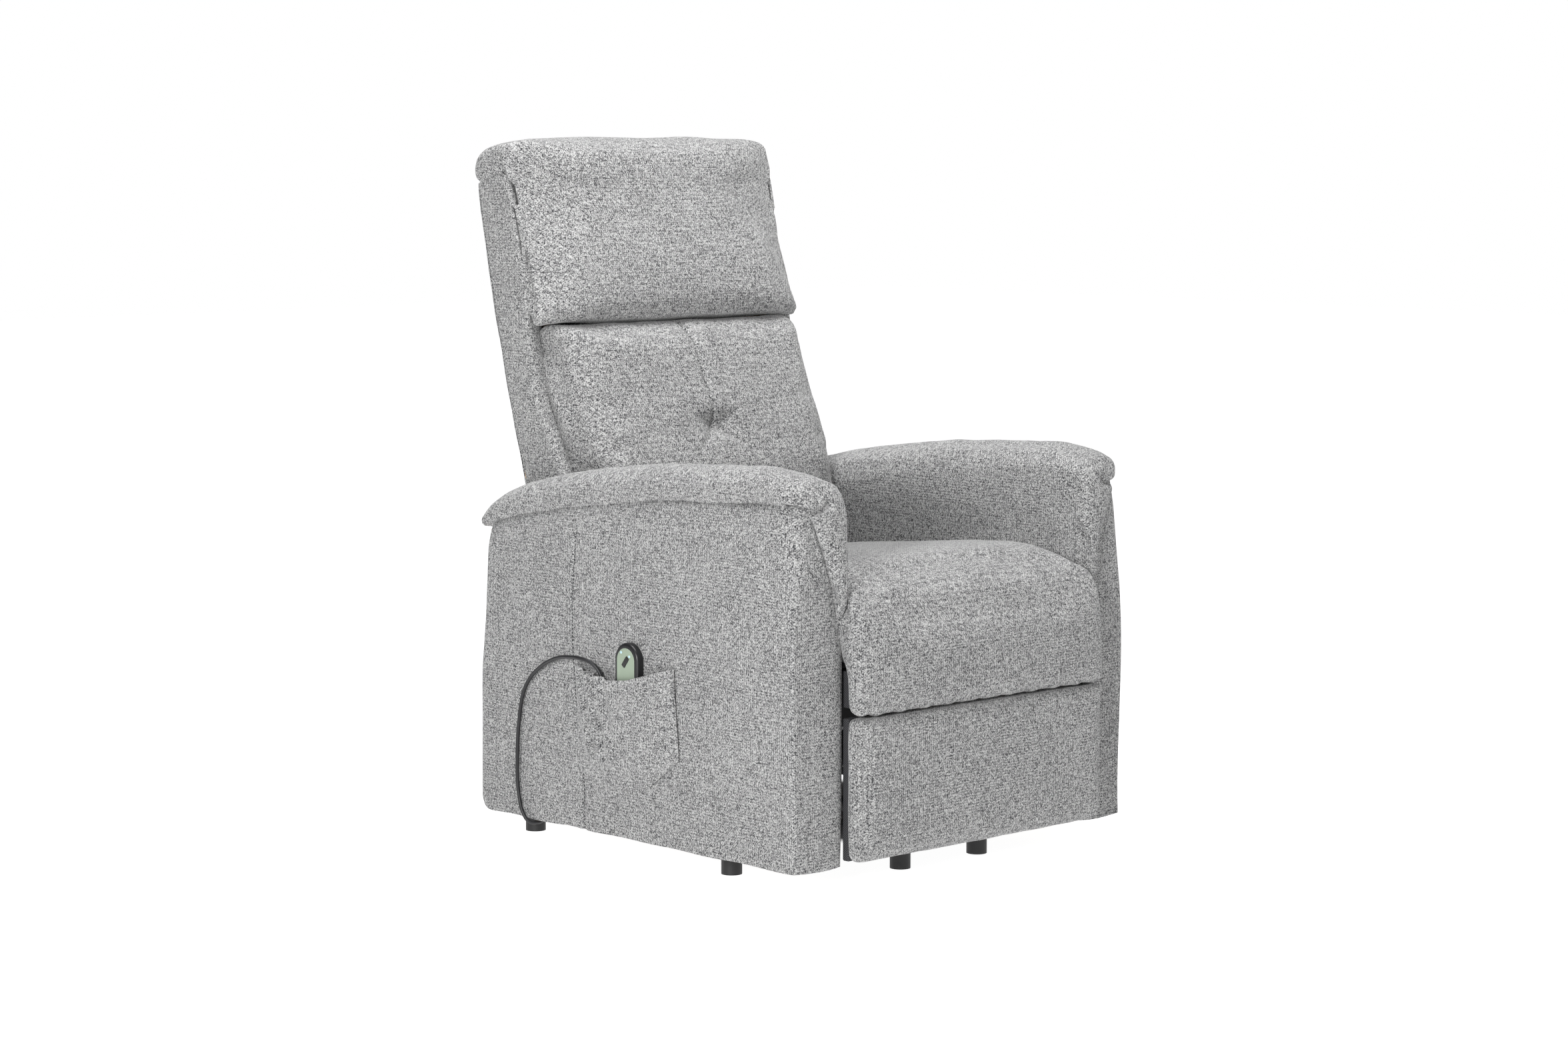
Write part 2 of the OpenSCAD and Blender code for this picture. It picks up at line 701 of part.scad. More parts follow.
floor_rails();
floor_rear_tube();
floor_front_tube();
front_outrigger();
lift_brackets();
lift_pivot_pins();
glide_feet();
actuator_mount();
lift_links();
lift_torque_tube();
actuator_lug();
guide_links();
actuator_housing();
actuator_motor();
actuator_rod();
mechanism_plate_right();
mechanism_plate_left();
carriage_tubes();
carriage_pins();
seat_side_rails();
seat_cross_rails();
seat_webbing();
seat_cushion();
arm_posts();
arm_rails();
arm_side_panels();
arm_front_panels();
arm_inner_panels();
arm_rear_panels();
arm_pad_right();
arm_pad_left();
arm_scrolls();
arm_hangers();
rear_valance();
side_pocket();
handset_body();
handset_face();
handset_rocker();
cord_relief();
handset_cord();
cord_plug();
control_box();
recline_brackets();
back_posts();
back_rails();
back_webbing();
back_rear_panel();
back_side_panels();
back_cushion();
headrest_pillow();
fold_links_upper();
fold_tie_tube();
fold_links_lower();
knee_plates();
knee_pins();
fold_links_front();
footrest_brackets();
footrest_board();
footrest_pad();
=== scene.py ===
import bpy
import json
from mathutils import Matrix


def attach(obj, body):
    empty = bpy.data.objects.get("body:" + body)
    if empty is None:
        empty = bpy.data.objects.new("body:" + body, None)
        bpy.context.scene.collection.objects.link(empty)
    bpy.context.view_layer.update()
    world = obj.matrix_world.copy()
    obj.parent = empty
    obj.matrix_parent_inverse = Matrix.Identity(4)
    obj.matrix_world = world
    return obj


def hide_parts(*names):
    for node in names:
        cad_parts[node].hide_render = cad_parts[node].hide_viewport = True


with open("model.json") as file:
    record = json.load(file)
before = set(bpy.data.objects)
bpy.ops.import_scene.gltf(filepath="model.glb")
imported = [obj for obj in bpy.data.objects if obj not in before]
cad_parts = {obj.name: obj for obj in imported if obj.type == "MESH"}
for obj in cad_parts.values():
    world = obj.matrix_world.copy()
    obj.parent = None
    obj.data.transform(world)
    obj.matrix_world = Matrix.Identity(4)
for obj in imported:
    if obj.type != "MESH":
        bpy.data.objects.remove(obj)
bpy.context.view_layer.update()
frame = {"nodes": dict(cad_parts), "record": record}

import json
import math

import bmesh
import bpy
import numpy as np
from bpy.props import FloatProperty, FloatVectorProperty
from mathutils import Vector, noise
from mathutils.bvhtree import BVHTree

bl_info = {
    "name": "Lift Recliner",
    "version": (1, 0, 0),
    "blender": (4, 5, 0),
    "location": "View3D > Sidebar > Chair",
    "description": "Upholstery, hand control, cord and finishes of an electric lift recliner",
    "category": "Add Mesh",
}

MM = 0.001
CLOTH_T = 4
HEM, ARM_RISE = 34, 520
CAMERA_AT, LOOK_AT = (-3.8403, -4.1019, 1.1053), (-0.0161, -0.0089, 0.4982)
FROM_SIDE, FROM_FRONT = (1, 2), (0, 2)
RECLINE_Y, RECLINE_Z = 240, 400
RAKE = math.radians(12)
CORD_ROUTE = [
    (-365, -37, 199), (-365, -37, 187), (-366, -29, 175), (-367, -14, 170), (-368, 1, 177),
    (-368, 9, 196), (-369, 14, 225), (-369, 19, 260), (-371, 27, 290), (-377, 40, 304),
    (-382, 60, 309), (-380, 88, 308), (-376, 116, 304), (-372, 146, 295), (-369, 176, 280),
    (-367, 204, 258), (-366, 221, 232), (-366, 229, 200), (-366, 234, 165), (-366, 236, 130),
    (-366, 236, 95), (-366, 231, 64), (-366, 222, 42), (-360, 214, 29), (-350, 210, 27),
    (-338, 208, 29), (-329, 207, 40), (-323, 207, 54), (-312, 207, 61), (-296, 207, 62),
    (-272, 207, 63), (-250, 207, 70), (-234, 207, 86), (-226, 207, 106), (-220, 207, 122),
    (-212, 207, 132), (-204, 207, 132),
]


class ChairSettings(bpy.types.PropertyGroup):
    light_yarn: FloatVectorProperty(
        name="Light yarn", description="Colour of the light yarn of the cover",
        subtype="COLOR", size=3, min=0, max=1, default=(0.52, 0.52, 0.515))
    dark_yarn: FloatVectorProperty(
        name="Dark yarn", description="Colour of the dark yarn of the cover",
        subtype="COLOR", size=3, min=0, max=1, default=(0.045, 0.045, 0.049))
    weave_pitch: FloatProperty(
        name="Weave pitch", description="Distance between two like yarn crossings",
        unit="LENGTH", default=0.0042, min=0.002, max=0.01)
    cord_d: FloatProperty(
        name="Cord diameter", description="Diameter of the hand control's cord",
        unit="LENGTH", default=0.006, min=0.004, max=0.008)
    stitch_pitch: FloatProperty(
        name="Stitch pitch", description="Distance from one stitch to the next",
        unit="LENGTH", default=0.006, min=0.003, max=0.012)
    plate_colour: FloatVectorProperty(
        name="Key plate", description="Colour of the hand control's key plate",
        subtype="COLOR", size=3, min=0, max=1, default=(0.33, 0.40, 0.31))
    floor_colour: FloatVectorProperty(
        name="Floor", description="Colour of the studio floor",
        subtype="COLOR", size=3, min=0, max=1, default=(0.3, 0.3, 0.3))


def settings():
    return bpy.context.scene.chair_settings


# Meshes


def deselect():
    for item in bpy.context.selected_objects:
        item.select_set(False)


def select(obj):
    deselect()
    obj.select_set(True)
    bpy.context.view_layer.objects.active = obj


def mesh_object(name, points, faces):
    """A new object with its place in its mesh; points in millimetres."""
    mesh = bpy.data.meshes.new(name)
    mesh.from_pydata([[c * MM for c in p] for p in points], [], faces)
    obj = bpy.data.objects.new(name, mesh)
    bpy.context.scene.collection.objects.link(obj)
    shaped = bmesh.new()
    shaped.from_mesh(mesh)
    bmesh.ops.remove_doubles(shaped, verts=shaped.verts, dist=1e-5)
    bmesh.ops.recalc_face_normals(shaped, faces=shaped.faces)
    shaped.to_mesh(mesh)
    shaped.free()
    return obj


def bake_size(name, scale, turn=(0, 0, 0)):
    """Names the form that was just added, sizes and turns it, and applies both."""
    obj = bpy.context.active_object
    obj.name = name
    obj.scale = scale
    obj.rotation_euler = turn
    bpy.ops.object.transform_apply(location=True, rotation=True, scale=True)
    return obj


def apply_modifier(obj, kind, **values):
    select(obj)
    modifier = obj.modifiers.new(kind.title(), kind)
    for key, value in values.items():
        setattr(modifier, key, value)
    bpy.ops.object.modifier_apply(modifier=modifier.name)
    return obj


def subdivide(obj, levels=1):
    return apply_modifier(obj, "SUBSURF", levels=levels)


def thicken(obj, thickness, offset=0):
    return apply_modifier(obj, "SOLIDIFY", thickness=thickness * MM, offset=offset)


def crisp(obj, degrees=35):
    """Smooth shading with its edges kept."""
    select(obj)
    bpy.ops.object.shade_smooth_by_angle(angle=math.radians(degrees))


def smooth(obj):
    obj.data.polygons.foreach_set("use_smooth", [True] * len(obj.data.polygons))
    return obj


def coordinates(obj):
    flat = np.empty(len(obj.data.vertices) * 3)
    obj.data.vertices.foreach_get("co", flat)
    return flat.reshape(-1, 3) / MM


def place(obj, points):
    obj.data.vertices.foreach_set("co", (points * MM).ravel())
    obj.data.update()


def normals(obj):
    flat = np.empty(len(obj.data.vertices) * 3)
    obj.data.vertices.foreach_get("normal", flat)
    return flat.reshape(-1, 3)


def loft(name, rings, closed=True):
    """A skin over rings of as many points each, with its two ends closed."""
    n = len(rings[0])
    points = [p for ring in rings for p in ring]
    faces = []
    for i in range(len(rings) - 1):
        for k in range(n if closed else n - 1):
            a, b = i * n + k, i * n + (k + 1) % n
            faces.append((a, b, b + n, a + n))
    if closed:
        faces += [tuple(range(n)), tuple(range(len(points) - n, len(points)))]
    return mesh_object(name, points, faces)


def rounded(points, times=2):
    """Corner cutting, to turn a coarse closed outline into a soft one."""
    points = [np.array(p, float) for p in points]
    for _ in range(times):
        cut = []
        for i, a in enumerate(points):
            b = points[(i + 1) % len(points)]
            cut += [a * 0.75 + b * 0.25, a * 0.25 + b * 0.75]
        points = cut
    return np.array(points)


def inset_outline(outline, depth):
    """The closed outline moved inwards by depth."""
    ahead, behind = np.roll(outline, -1, 0), np.roll(outline, 1, 0)
    along = ahead - behind
    along /= np.linalg.norm(along, axis=1)[:, None] + 1e-9
    side = np.stack([-along[:, 1], along[:, 0]], 1)
    area = np.sum(outline[:, 0] * ahead[:, 1] - ahead[:, 0] * outline[:, 1])
    return outline + side * depth * (1 if area > 0 else -1)


ENDS = [(1.0, 15), (0.993, 8), (0.975, 3), (0.94, 0.8), (0.87, 0), (0.7, 0), (0.45, 0), (0.2, 0)]


def across(name, outline, half_width, crown=None, soft=1.0, times=2):
    """A padded form with one side outline [y, z], running across the chair with rounded ends."""
    outline = rounded(outline, times)
    stations = [(-t, d) for t, d in ENDS] + [(0.0, 0)] + [(t, d) for t, d in reversed(ENDS)]
    rings = []
    for t, depth in stations:
        ring = inset_outline(outline, depth * soft)
        rings.append([(t * half_width(y, z), *((y, z) if crown is None else crown(t, y, z)))
                      for y, z in ring])
    return loft(name, rings)


def puff(obj, voxel, pressure, cap, held=None, frames=20, soften=4):
    """Remeshes a padded form, lets it swell as stuffed cloth and applies what came of it."""
    apply_modifier(obj, "REMESH", mode="VOXEL", voxel_size=voxel * MM)
    start = coordinates(obj)
    if held is not None:
        group = obj.vertex_groups.new(name="held")
        for i, p in enumerate(start):
            weight = held(*p)
            if weight > 0:
                group.add([i], weight, "REPLACE")
    cloth = obj.modifiers.new("Swell", "CLOTH")
    cloth.settings.quality = 4
    cloth.settings.mass = 0.25
    cloth.settings.use_pressure = True
    cloth.settings.uniform_pressure_force = pressure
    cloth.settings.effector_weights.gravity = 0
    cloth.settings.tension_stiffness = 12
    cloth.settings.compression_stiffness = 9
    cloth.settings.bending_stiffness = 0.8
    cloth.collision_settings.use_collision = False
    if held is not None:
        cloth.settings.vertex_group_mass = "held"
    cloth.point_cache.frame_start = 1
    cloth.point_cache.frame_end = frames
    scene = bpy.context.scene
    for f in range(1, frames + 1):
        scene.frame_set(f)
    shown = obj.evaluated_get(bpy.context.evaluated_depsgraph_get())
    flat = np.empty(len(shown.data.vertices) * 3)
    shown.data.vertices.foreach_get("co", flat)
    moved = flat.reshape(-1, 3) / MM - start
    far = np.linalg.norm(moved, axis=1)
    moved *= (np.minimum(far, cap) / np.maximum(far, 1e-6))[:, None]
    obj.modifiers.clear()
    place(obj, start + moved)
    scene.frame_set(1)
    obj.vertex_groups.clear()
    apply_modifier(obj, "SMOOTH", factor=0.5, iterations=soften)
    subdivide(obj)
    return smooth(obj)


def groove(obj, line, width, depth, plane, side):
    """Presses a seam along a line of points given in two axes, where side(x, y, z) is true."""
    points = coordinates(obj)
    away = normals(obj)
    line = np.array(line, float)
    flat = points[:, list(plane)]
    nearest = np.full(len(flat), 1e9)
    for a, b in zip(line[:-1], line[1:]):
        run = b - a
        t = np.clip(((flat - a) @ run) / (run @ run), 0, 1)
        nearest = np.minimum(nearest, np.linalg.norm(flat - a - t[:, None] * run, axis=1))
    press = depth * np.exp(-((nearest / width) ** 2))
    press *= np.array([1.0 if side(*p) else 0.0 for p in points])
    place(obj, points - away * press[:, None])


def ruffle(obj, amount, scale, seed=0.0, where=None):
    """Low soft undulation of a cover, along its own normals."""
    points = coordinates(obj)
    away = normals(obj)
    shift = np.array([noise.noise(Vector((*(p / scale),)) + Vector((seed, seed, seed)))
                      for p in points]) * amount
    if where is not None:
        shift *= np.array([where(*p) for p in points])
    place(obj, points + away * shift[:, None])


def stitches(name, line, towards, target, body):
    """A row of thread stitches laid on target, along a line of points in millimetres."""
    tree = BVHTree.FromObject(target, bpy.context.evaluated_depsgraph_get())
    towards = Vector(towards).normalized()
    line = [Vector(p) for p in line]
    lengths = [(b - a).length for a, b in zip(line[:-1], line[1:])]
    total = sum(lengths)
    pitch = settings().stitch_pitch / MM

    def at(s):
        for a, b, length in zip(line[:-1], line[1:], lengths):
            if s <= length:
                return a.lerp(b, s / length)
            s -= length
        return line[-1]

    points, faces = [], []
    for i in range(int(total / pitch)):
        ends = []
        for s in (i * pitch, i * pitch + 0.66 * pitch):
            p = at(s)
            hit = tree.ray_cast((p - towards * 60) * MM, towards)
            ends.append(None if hit[0] is None else hit[0] / MM - towards * 0.35)
        if None in ends or (ends[0] - ends[1]).length > pitch * 2:
            continue
        run = (ends[1] - ends[0]).normalized()
        wide = run.cross(towards).normalized() * 0.95
        high = towards * -0.7
        n = len(points)
        a, b = ends[0] + run * 0.2, ends[1] - run * 0.2
        points += [a - wide, a + wide, b + wide, b - wide,
                   a + high * 0.4, b + high * 0.4]
        points += [a - high - wide * 0.5, a - high + wide * 0.5, b - high + wide * 0.5,
                   b - high - wide * 0.5]
        faces += [(n, n + 1, n + 4), (n + 3, n + 5, n + 2), (n + 1, n + 2, n + 5, n + 4),
                  (n, n + 4, n + 5, n + 3), (n, n + 3, n + 9, n + 6), (n + 1, n + 7, n + 8, n + 2),
                  (n, n + 6, n + 7, n + 1), (n + 2, n + 8, n + 9, n + 3), (n + 6, n + 9, n + 8, n + 7)]
    obj = mesh_object(name, points, faces)
    obj.data.materials.append(finish("thread"))
    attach(obj, body)
    return obj


# Pieces of the frame that are wrapped in black backing cloth
WRAPPED = ("footrest_board", "seat_cross_rails", "seat_side_rails")


def finish_piece(obj, body, material, slot, *nodes):
    obj.data.materials.clear()
    obj.data.materials.append(material)
    if nodes:
        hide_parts(*nodes)
    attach(obj, body)
    return obj


def cover_piece(obj, body, *nodes):
    return finish_piece(obj, body, finish("cover"), "fabric", *nodes)


# Materials


class Value:
    """A shader value; arithmetic on it adds Math nodes."""

    def __init__(self, graph, socket):
        self.graph, self.socket = graph, socket

    def _math(self, operation, a, b):
        return self.graph.add("ShaderNodeMath", {"operation": operation}, [a, b])[0]

    def __add__(self, other):
        return self._math("ADD", self, other)

    __radd__ = __add__

    def __sub__(self, other):
        return self._math("SUBTRACT", self, other)

    def __rsub__(self, other):
        return self._math("SUBTRACT", other, self)

    def __mul__(self, other):
        return self._math("MULTIPLY", self, other)

    __rmul__ = __mul__

    def __gt__(self, other):
        return self._math("GREATER_THAN", self, other)


class Graph:
    """The node tree of one material."""

    def __init__(self, name):
        self.material = bpy.data.materials.new(name)
        self.material.use_nodes = True
        self.tree = self.material.node_tree
        self.shader = self.tree.nodes["Principled BSDF"]

    def add(self, kind, values=None, inputs=()):
        """Adds a node, sets its own values, then its sockets; gives its outputs."""
        node = self.tree.nodes.new(kind)
        for key, value in (values or {}).items():
            if key == "stops":
                ramp = node.color_ramp
                while len(ramp.elements) < len(value):
                    ramp.elements.new(0.5)
                for element, (at, colour) in zip(ramp.elements, value):
                    element.position, element.color = at, (*colour, 1)
            else:
                setattr(node, key, value)
        pairs = inputs.items() if isinstance(inputs, dict) else enumerate(inputs)
        for key, value in pairs:
            self.link(node.inputs[key], value)
        return [Value(self, s) for s in node.outputs if s.enabled]

    def link(self, socket, value):
        if isinstance(value, Value):
            self.tree.links.new(value.socket, socket)
        else:
            socket.default_value = value

    def noise(self, here, scale, detail=2.0):
        values = {"Vector": here, "Scale": scale, "Detail": detail}
        return self.add("ShaderNodeTexNoise", {}, values)[0]

    def ramp(self, value, *stops):
        return self.add("ShaderNodeValToRGB", {"stops": stops}, [value])[0]

    def bump(self, height, strength, distance):
        values = {"Strength": strength, "Distance": distance, "Height": height}
        return self.add("ShaderNodeBump", {}, values)[0]

    def absolute(self, value):
        return self.add("ShaderNodeMath", {"operation": "ABSOLUTE"}, [value])[0]

    def sin(self, value):
        return value._math("SINE", value, 0.0)

    def cos(self, value):
        return value._math("COSINE", value, 0.0)

    def set(self, **values):
        for key, value in values.items():
            name = key.replace("_", " ").title().replace("Ior", "IOR")
            self.link(self.shader.inputs[name], value)
        return self.material


def place_of(graph, scale=(1, 1, 1)):
    """Object coordinates, scaled."""
    here = graph.add("ShaderNodeTexCoord")[3]
    return graph.add("ShaderNodeMapping", {}, {"Vector": here, "Scale": scale})[0]


def fabric(name):
    """Chunky two-yarn cover cloth: crossings, single dark and light yarns, slubs and shade."""
    g = Graph(name)
    here = g.add("ShaderNodeTexCoord")[3]
    facing = g.add("ShaderNodeTexCoord")[1]
    wander = g.add("ShaderNodeTexNoise", {}, {"Vector": here, "Scale": 190.0, "Detail": 1.0})[1]
    centred = g.add("ShaderNodeVectorMath", {"operation": "SUBTRACT"}, [wander, (0.5, 0.5, 0.5)])[0]
    drift = g.add("ShaderNodeVectorMath", {"operation": "SCALE"}, {0: centred, "Scale": 0.0048})[0]
    yarn = g.add("ShaderNodeVectorMath", {"operation": "ADD"}, [here, drift])[0]
    turn = 2 * math.pi / settings().weave_pitch
    scaled = g.add("ShaderNodeVectorMath", {"operation": "SCALE"}, {0: yarn, "Scale": turn})[0]
    x, y, z = g.add("ShaderNodeSeparateXYZ", {}, [scaled])
    crossing = g.sin(x) * g.cos(y) + g.sin(y) * g.cos(z) + g.sin(z) * g.cos(x)
    single = g.add("ShaderNodeTexVoronoi", {"feature": "F1"},
                   {"Vector": yarn, "Scale": 2.1 / settings().weave_pitch})[1]
    pick = g.add("ShaderNodeSeparateColor", {}, [single])[0]
    fine = g.noise(here, 900.0)
    weave = crossing * 0.11 + pick * 0.48 + fine * 0.34 + 0.09
    nx, ny, nz = g.add("ShaderNodeSeparateXYZ", {}, [facing])
    level = g.absolute(nz) > 0.62
    px, py, pz = g.add("ShaderNodeSeparateXYZ", {}, [here])
    rise = pz + level * (py - pz)
    along = px + py
    row = g.add("ShaderNodeCombineXYZ", {}, [along * 45.0, rise * 430.0, 0.0])[0]
    slub = g.noise(row, 1.0, 1.0)
    streak = g.add("ShaderNodeMapRange", {"clamp": True},
                   {"Value": slub, "From Min": 0.60, "From Max": 0.74, "To Min": 0.0, "To Max": 0.15})[0]
    shade = g.noise(here, 9.0)
    depth = weave - streak + (shade - 0.5) * 0.08
    light, dark = settings().light_yarn, settings().dark_yarn
    middle = [0.42 * a + 0.58 * b for a, b in zip(light, dark)]
    colour = g.ramp(depth, (0.20, dark), (0.47, middle), (0.78, light))
    bump = g.bump(depth, 0.55, 0.0011)
    return g.set(base_color=colour, roughness=0.92, normal=bump, sheen_weight=0.25,
                 sheen_roughness=0.5, specular_ior_level=0.15)


def thread(name):
    g = Graph(name)
    tone = g.noise(place_of(g), 400.0)
    colour = g.ramp(tone, (0.2, (0.012, 0.012, 0.014)), (0.8, (0.04, 0.04, 0.045)))
    return g.set(base_color=colour, roughness=0.8)


def metal(name, dark, light, roughness, metallic):
    g = Graph(name)
    here = place_of(g)
    cloud = g.noise(here, 14.0, 4.0)
    grain = g.noise(here, 220.0)
    colour = g.ramp(cloud * 0.6 + grain * 0.4, (0.25, dark), (0.75, light))
    bump = g.bump(grain, 0.15, 0.0004)
    return g.set(base_color=colour, roughness=grain * 0.15 + (roughness - 0.07),
                 normal=bump, metallic=metallic)


def timber(name):
    g = Graph(name)
    here = place_of(g, (26, 26, 26))
    ring = g.add("ShaderNodeTexWave", {"bands_direction": "Z"},
                 {"Vector": here, "Scale": 0.6, "Distortion": 4.0, "Detail": 3.0})[1]
    grain = g.noise(place_of(g, (300, 12, 300)), 1.0)
    colour = g.ramp(ring * 0.55 + grain * 0.45, (0.1, (0.42, 0.26, 0.13)), (0.9, (0.68, 0.48, 0.28)))
    bump = g.bump(grain, 0.2, 0.0005)
    return g.set(base_color=colour, roughness=0.65, normal=bump)


def webbing(name):
    g = Graph(name)
    x, y, z = g.add("ShaderNodeSeparateXYZ", {}, [place_of(g, (1800, 1800, 1800))])
    ribs = g.sin(x) * g.sin(y + z)
    colour = g.ramp(ribs * 0.5 + 0.5, (0.2, (0.01, 0.01, 0.012)), (0.8, (0.07, 0.07, 0.075)))
    bump = g.bump(ribs, 0.5, 0.0006)
    return g.set(base_color=colour, roughness=0.85, normal=bump)


def plastic(name, dark, light, roughness):
    g = Graph(name)
    here = place_of(g)
    grain = g.noise(here, 700.0)
    wear = g.noise(here, 24.0, 3.0)
    colour = g.ramp(grain * 0.3 + wear * 0.7, (0.3, dark), (0.7, light))
    bump = g.bump(grain, 0.12, 0.0003)
    return g.set(base_color=colour, roughness=wear * 0.12 + (roughness - 0.06), normal=bump)


finishes = {}


def finish(name):
    """Each finish is made once."""
    makers = {
        "cover": lambda: fabric("cover_cloth"),
        "thread": lambda: thread("seam_thread"),
        "frame_steel": lambda: metal("black_painted_steel", (0.012, 0.012, 0.013),
                                     (0.035, 0.035, 0.037), 0.5, 0.0),
        "pin_steel": lambda: metal("zinc_plated_steel", (0.32, 0.32, 0.33), (0.55, 0.55, 0.56),
                                   0.35, 1.0),
        "timber": lambda: timber("sawn_beech"),
        "webbing": lambda: webbing("elastic_webbing"),
        "backing": lambda: webbing("black_backing"),
        "foot_plastic": lambda: plastic("foot_moulding", (0.008, 0.008, 0.009),
                                        (0.03, 0.03, 0.03), 0.5),
        "motor_plastic": lambda: plastic("motor_moulding", (0.015, 0.015, 0.016),
                                         (0.04, 0.04, 0.042), 0.45),
        "handset_shell": lambda: plastic("control_shell", (0.006, 0.006, 0.007),
                                         (0.02, 0.02, 0.022), 0.38),
        "handset_plate": lambda: plastic("control_plate", [0.8 * c for c in settings().plate_colour],
                                         settings().plate_colour, 0.5),
        "handset_button": lambda: plastic("control_button", (0.006, 0.006, 0.006),
                                          (0.015, 0.015, 0.015), 0.4),
        "symbol": lambda: plastic("control_symbol", (0.42, 0.60, 0.66), (0.52, 0.70, 0.76), 0.5),
        "cord_jacket": lambda: plastic("cord_jacket", (0.006, 0.006, 0.007), (0.018, 0.018, 0.02), 0.45),
    }
    if name not in finishes:
        finishes[name] = makers[name]()
    return finishes[name]


def back_point(x, y, z):
    """From the back's own upright frame to the chair's."""
    return (x, RECLINE_Y + y * math.cos(RAKE) + z * math.sin(RAKE),
            RECLINE_Z - y * math.sin(RAKE) + z * math.cos(RAKE))


def lean_back(obj):
    points = coordinates(obj)
    y, z = points[:, 1].copy(), points[:, 2].copy()
    points[:, 1] = RECLINE_Y + y * math.cos(RAKE) + z * math.sin(RAKE)
    points[:, 2] = RECLINE_Z - y * math.sin(RAKE) + z * math.cos(RAKE)
    place(obj, points)


def smooth_step(t):
    t = min(1.0, max(0.0, t))
    return t * t * (3 - 2 * t)


# Pieces


class CHAIR_OT_stage(bpy.types.Operator):
    """Camera, floor with a painted shadow under the chair, and studio lights"""
    bl_idname = "chair.stage"
    bl_label = "Stage"

    def execute(self, context):
        scene = context.scene
        scene.view_settings.view_transform = "Standard"
        where, look = Vector(CAMERA_AT), Vector(LOOK_AT)
        camera = bpy.data.cameras.new("camera")
        camera.lens, camera.sensor_width = 81.295, 36.0
        camera.clip_end = 100
        eye = bpy.data.objects.new("camera", camera)
        eye.location = where
        eye.rotation_euler = (look - where).to_track_quat("-Z", "Y").to_euler()
        scene.collection.objects.link(eye)
        scene.camera = eye
        deselect()
        bpy.ops.mesh.primitive_plane_add(size=30, location=(0, 0, 0))
        floor = context.active_object
        floor.name = "studio_floor"
        g = Graph("studio_floor")
        tone = g.noise(place_of(g), 0.5)
        pale = settings().floor_colour
        colour = g.ramp(tone, (0, [0.99 * c for c in pale]), (1, pale))
        # The floor glows everywhere except in a patch under the chair, where its glow is cut off: a
        # painted shadow.
        x, y, z = g.add("ShaderNodeSeparateXYZ", {}, [place_of(g)])
        wide = g.absolute(x - 0.18) - 0.17
        deep = g.absolute(y - 0.09) - 0.24
        reach = g.add("ShaderNodeMath", {"operation": "MAXIMUM"}, [wide, deep])[0]
        # Emission ramp: no glow inside the patch under the chair (painted shadow), full glow outside it.
        glow_with_painted_shadow = g.ramp(reach, (0.0, (0, 0, 0)), (0.03, (1, 1, 1)))
        g.set(base_color=colour, roughness=0.9, specular_ior_level=0.0,
              emission_color=glow_with_painted_shadow, emission_strength=0.97)
        floor.data.materials.append(g.material)
        world = bpy.data.worlds.new("studio")
        world.use_nodes = True
        self.backdrop(world.node_tree, (look - where).normalized())
        scene.world = world
        for name, spot, size, power in (("key", (-3.5, -1.9, 1.3), 0.9, 98),
                                        ("top", (-0.2, -0.2, 3.5), 1.8, 118),
                                        ("front", (0.9, -4.2, 2.6), 2.0, 26)):
            light = bpy.data.lights.new(name, "AREA")
            light.size, light.energy = size, power
            lamp = bpy.data.objects.new(name, light)
            lamp.location = spot
            aim = Vector((0, 0, 0.5)) - Vector(spot)
            lamp.rotation_euler = aim.to_track_quat("-Z", "Y").to_euler()
            scene.collection.objects.link(lamp)
        return {"FINISHED"}

    def backdrop(self, tree, ahead):
        """A white screen behind the chair, as the camera sees it, and dimmer walls around."""
        here = tree.nodes.new("ShaderNodeTexCoord")
        dot = tree.nodes.new("ShaderNodeVectorMath")
        dot.operation = "DOT_PRODUCT"
        dot.inputs[1].default_value = ahead
        ramp = tree.nodes.new("ShaderNodeMapRange")
        for key, value in (("From Min", 0.80), ("From Max", 0.90), ("To Min", 0.14), ("To Max", 1.0)):
            ramp.inputs[key].default_value = value
        tree.links.new(here.outputs["Generated"], dot.inputs[0])
        tree.links.new(dot.outputs["Value"], ramp.inputs["Value"])
        tree.links.new(ramp.outputs["Result"], tree.nodes["Background"].inputs["Strength"])
        tree.nodes["Background"].inputs["Color"].default_value = (1, 1, 1, 1)


class CHAIR_OT_cord(bpy.types.Operator):
    """Cord of the hand control, from its strain relief to the plug on the control box"""
    bl_idname = "chair.cord"
    bl_label = "Cord"

    def execute(self, context):
        curve = bpy.data.curves.new("control_cord", "CURVE")
        curve.dimensions = "3D"
        curve.bevel_depth = settings().cord_d / 2
        curve.bevel_resolution = 4
        curve.resolution_u = 6
        spline = curve.splines.new("BEZIER")
        spline.bezier_points.add(len(CORD_ROUTE) - 1)
        for knot, point in zip(spline.bezier_points, CORD_ROUTE):
            knot.co = [c * MM for c in point]
            knot.handle_left_type = knot.handle_right_type = "AUTO"
        cord = bpy.data.objects.new("control_cord", curve)
        context.scene.collection.objects.link(cord)
        curve.materials.append(finish("cord_jacket"))
        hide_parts("handset_cord")
        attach(cord, "carriage")
        return {"FINISHED"}


class CHAIR_OT_frame_finish(bpy.types.Operator):
    """Finishes of the pieces that keep their own shape: steel, timber, webbing, mouldings"""
    bl_idname = "chair.frame_finish"
    bl_label = "Frame finishes"

    def execute(self, context):
        for part in frame["record"]["subparts"]:
            name = part["material_slot"]
            if name == "fabric":
                continue
            node = frame["nodes"][part["node"]]
            node.data.materials.clear()
            node.data.materials.append(finish("backing" if part["node"] in WRAPPED else name))
        return {"FINISHED"}


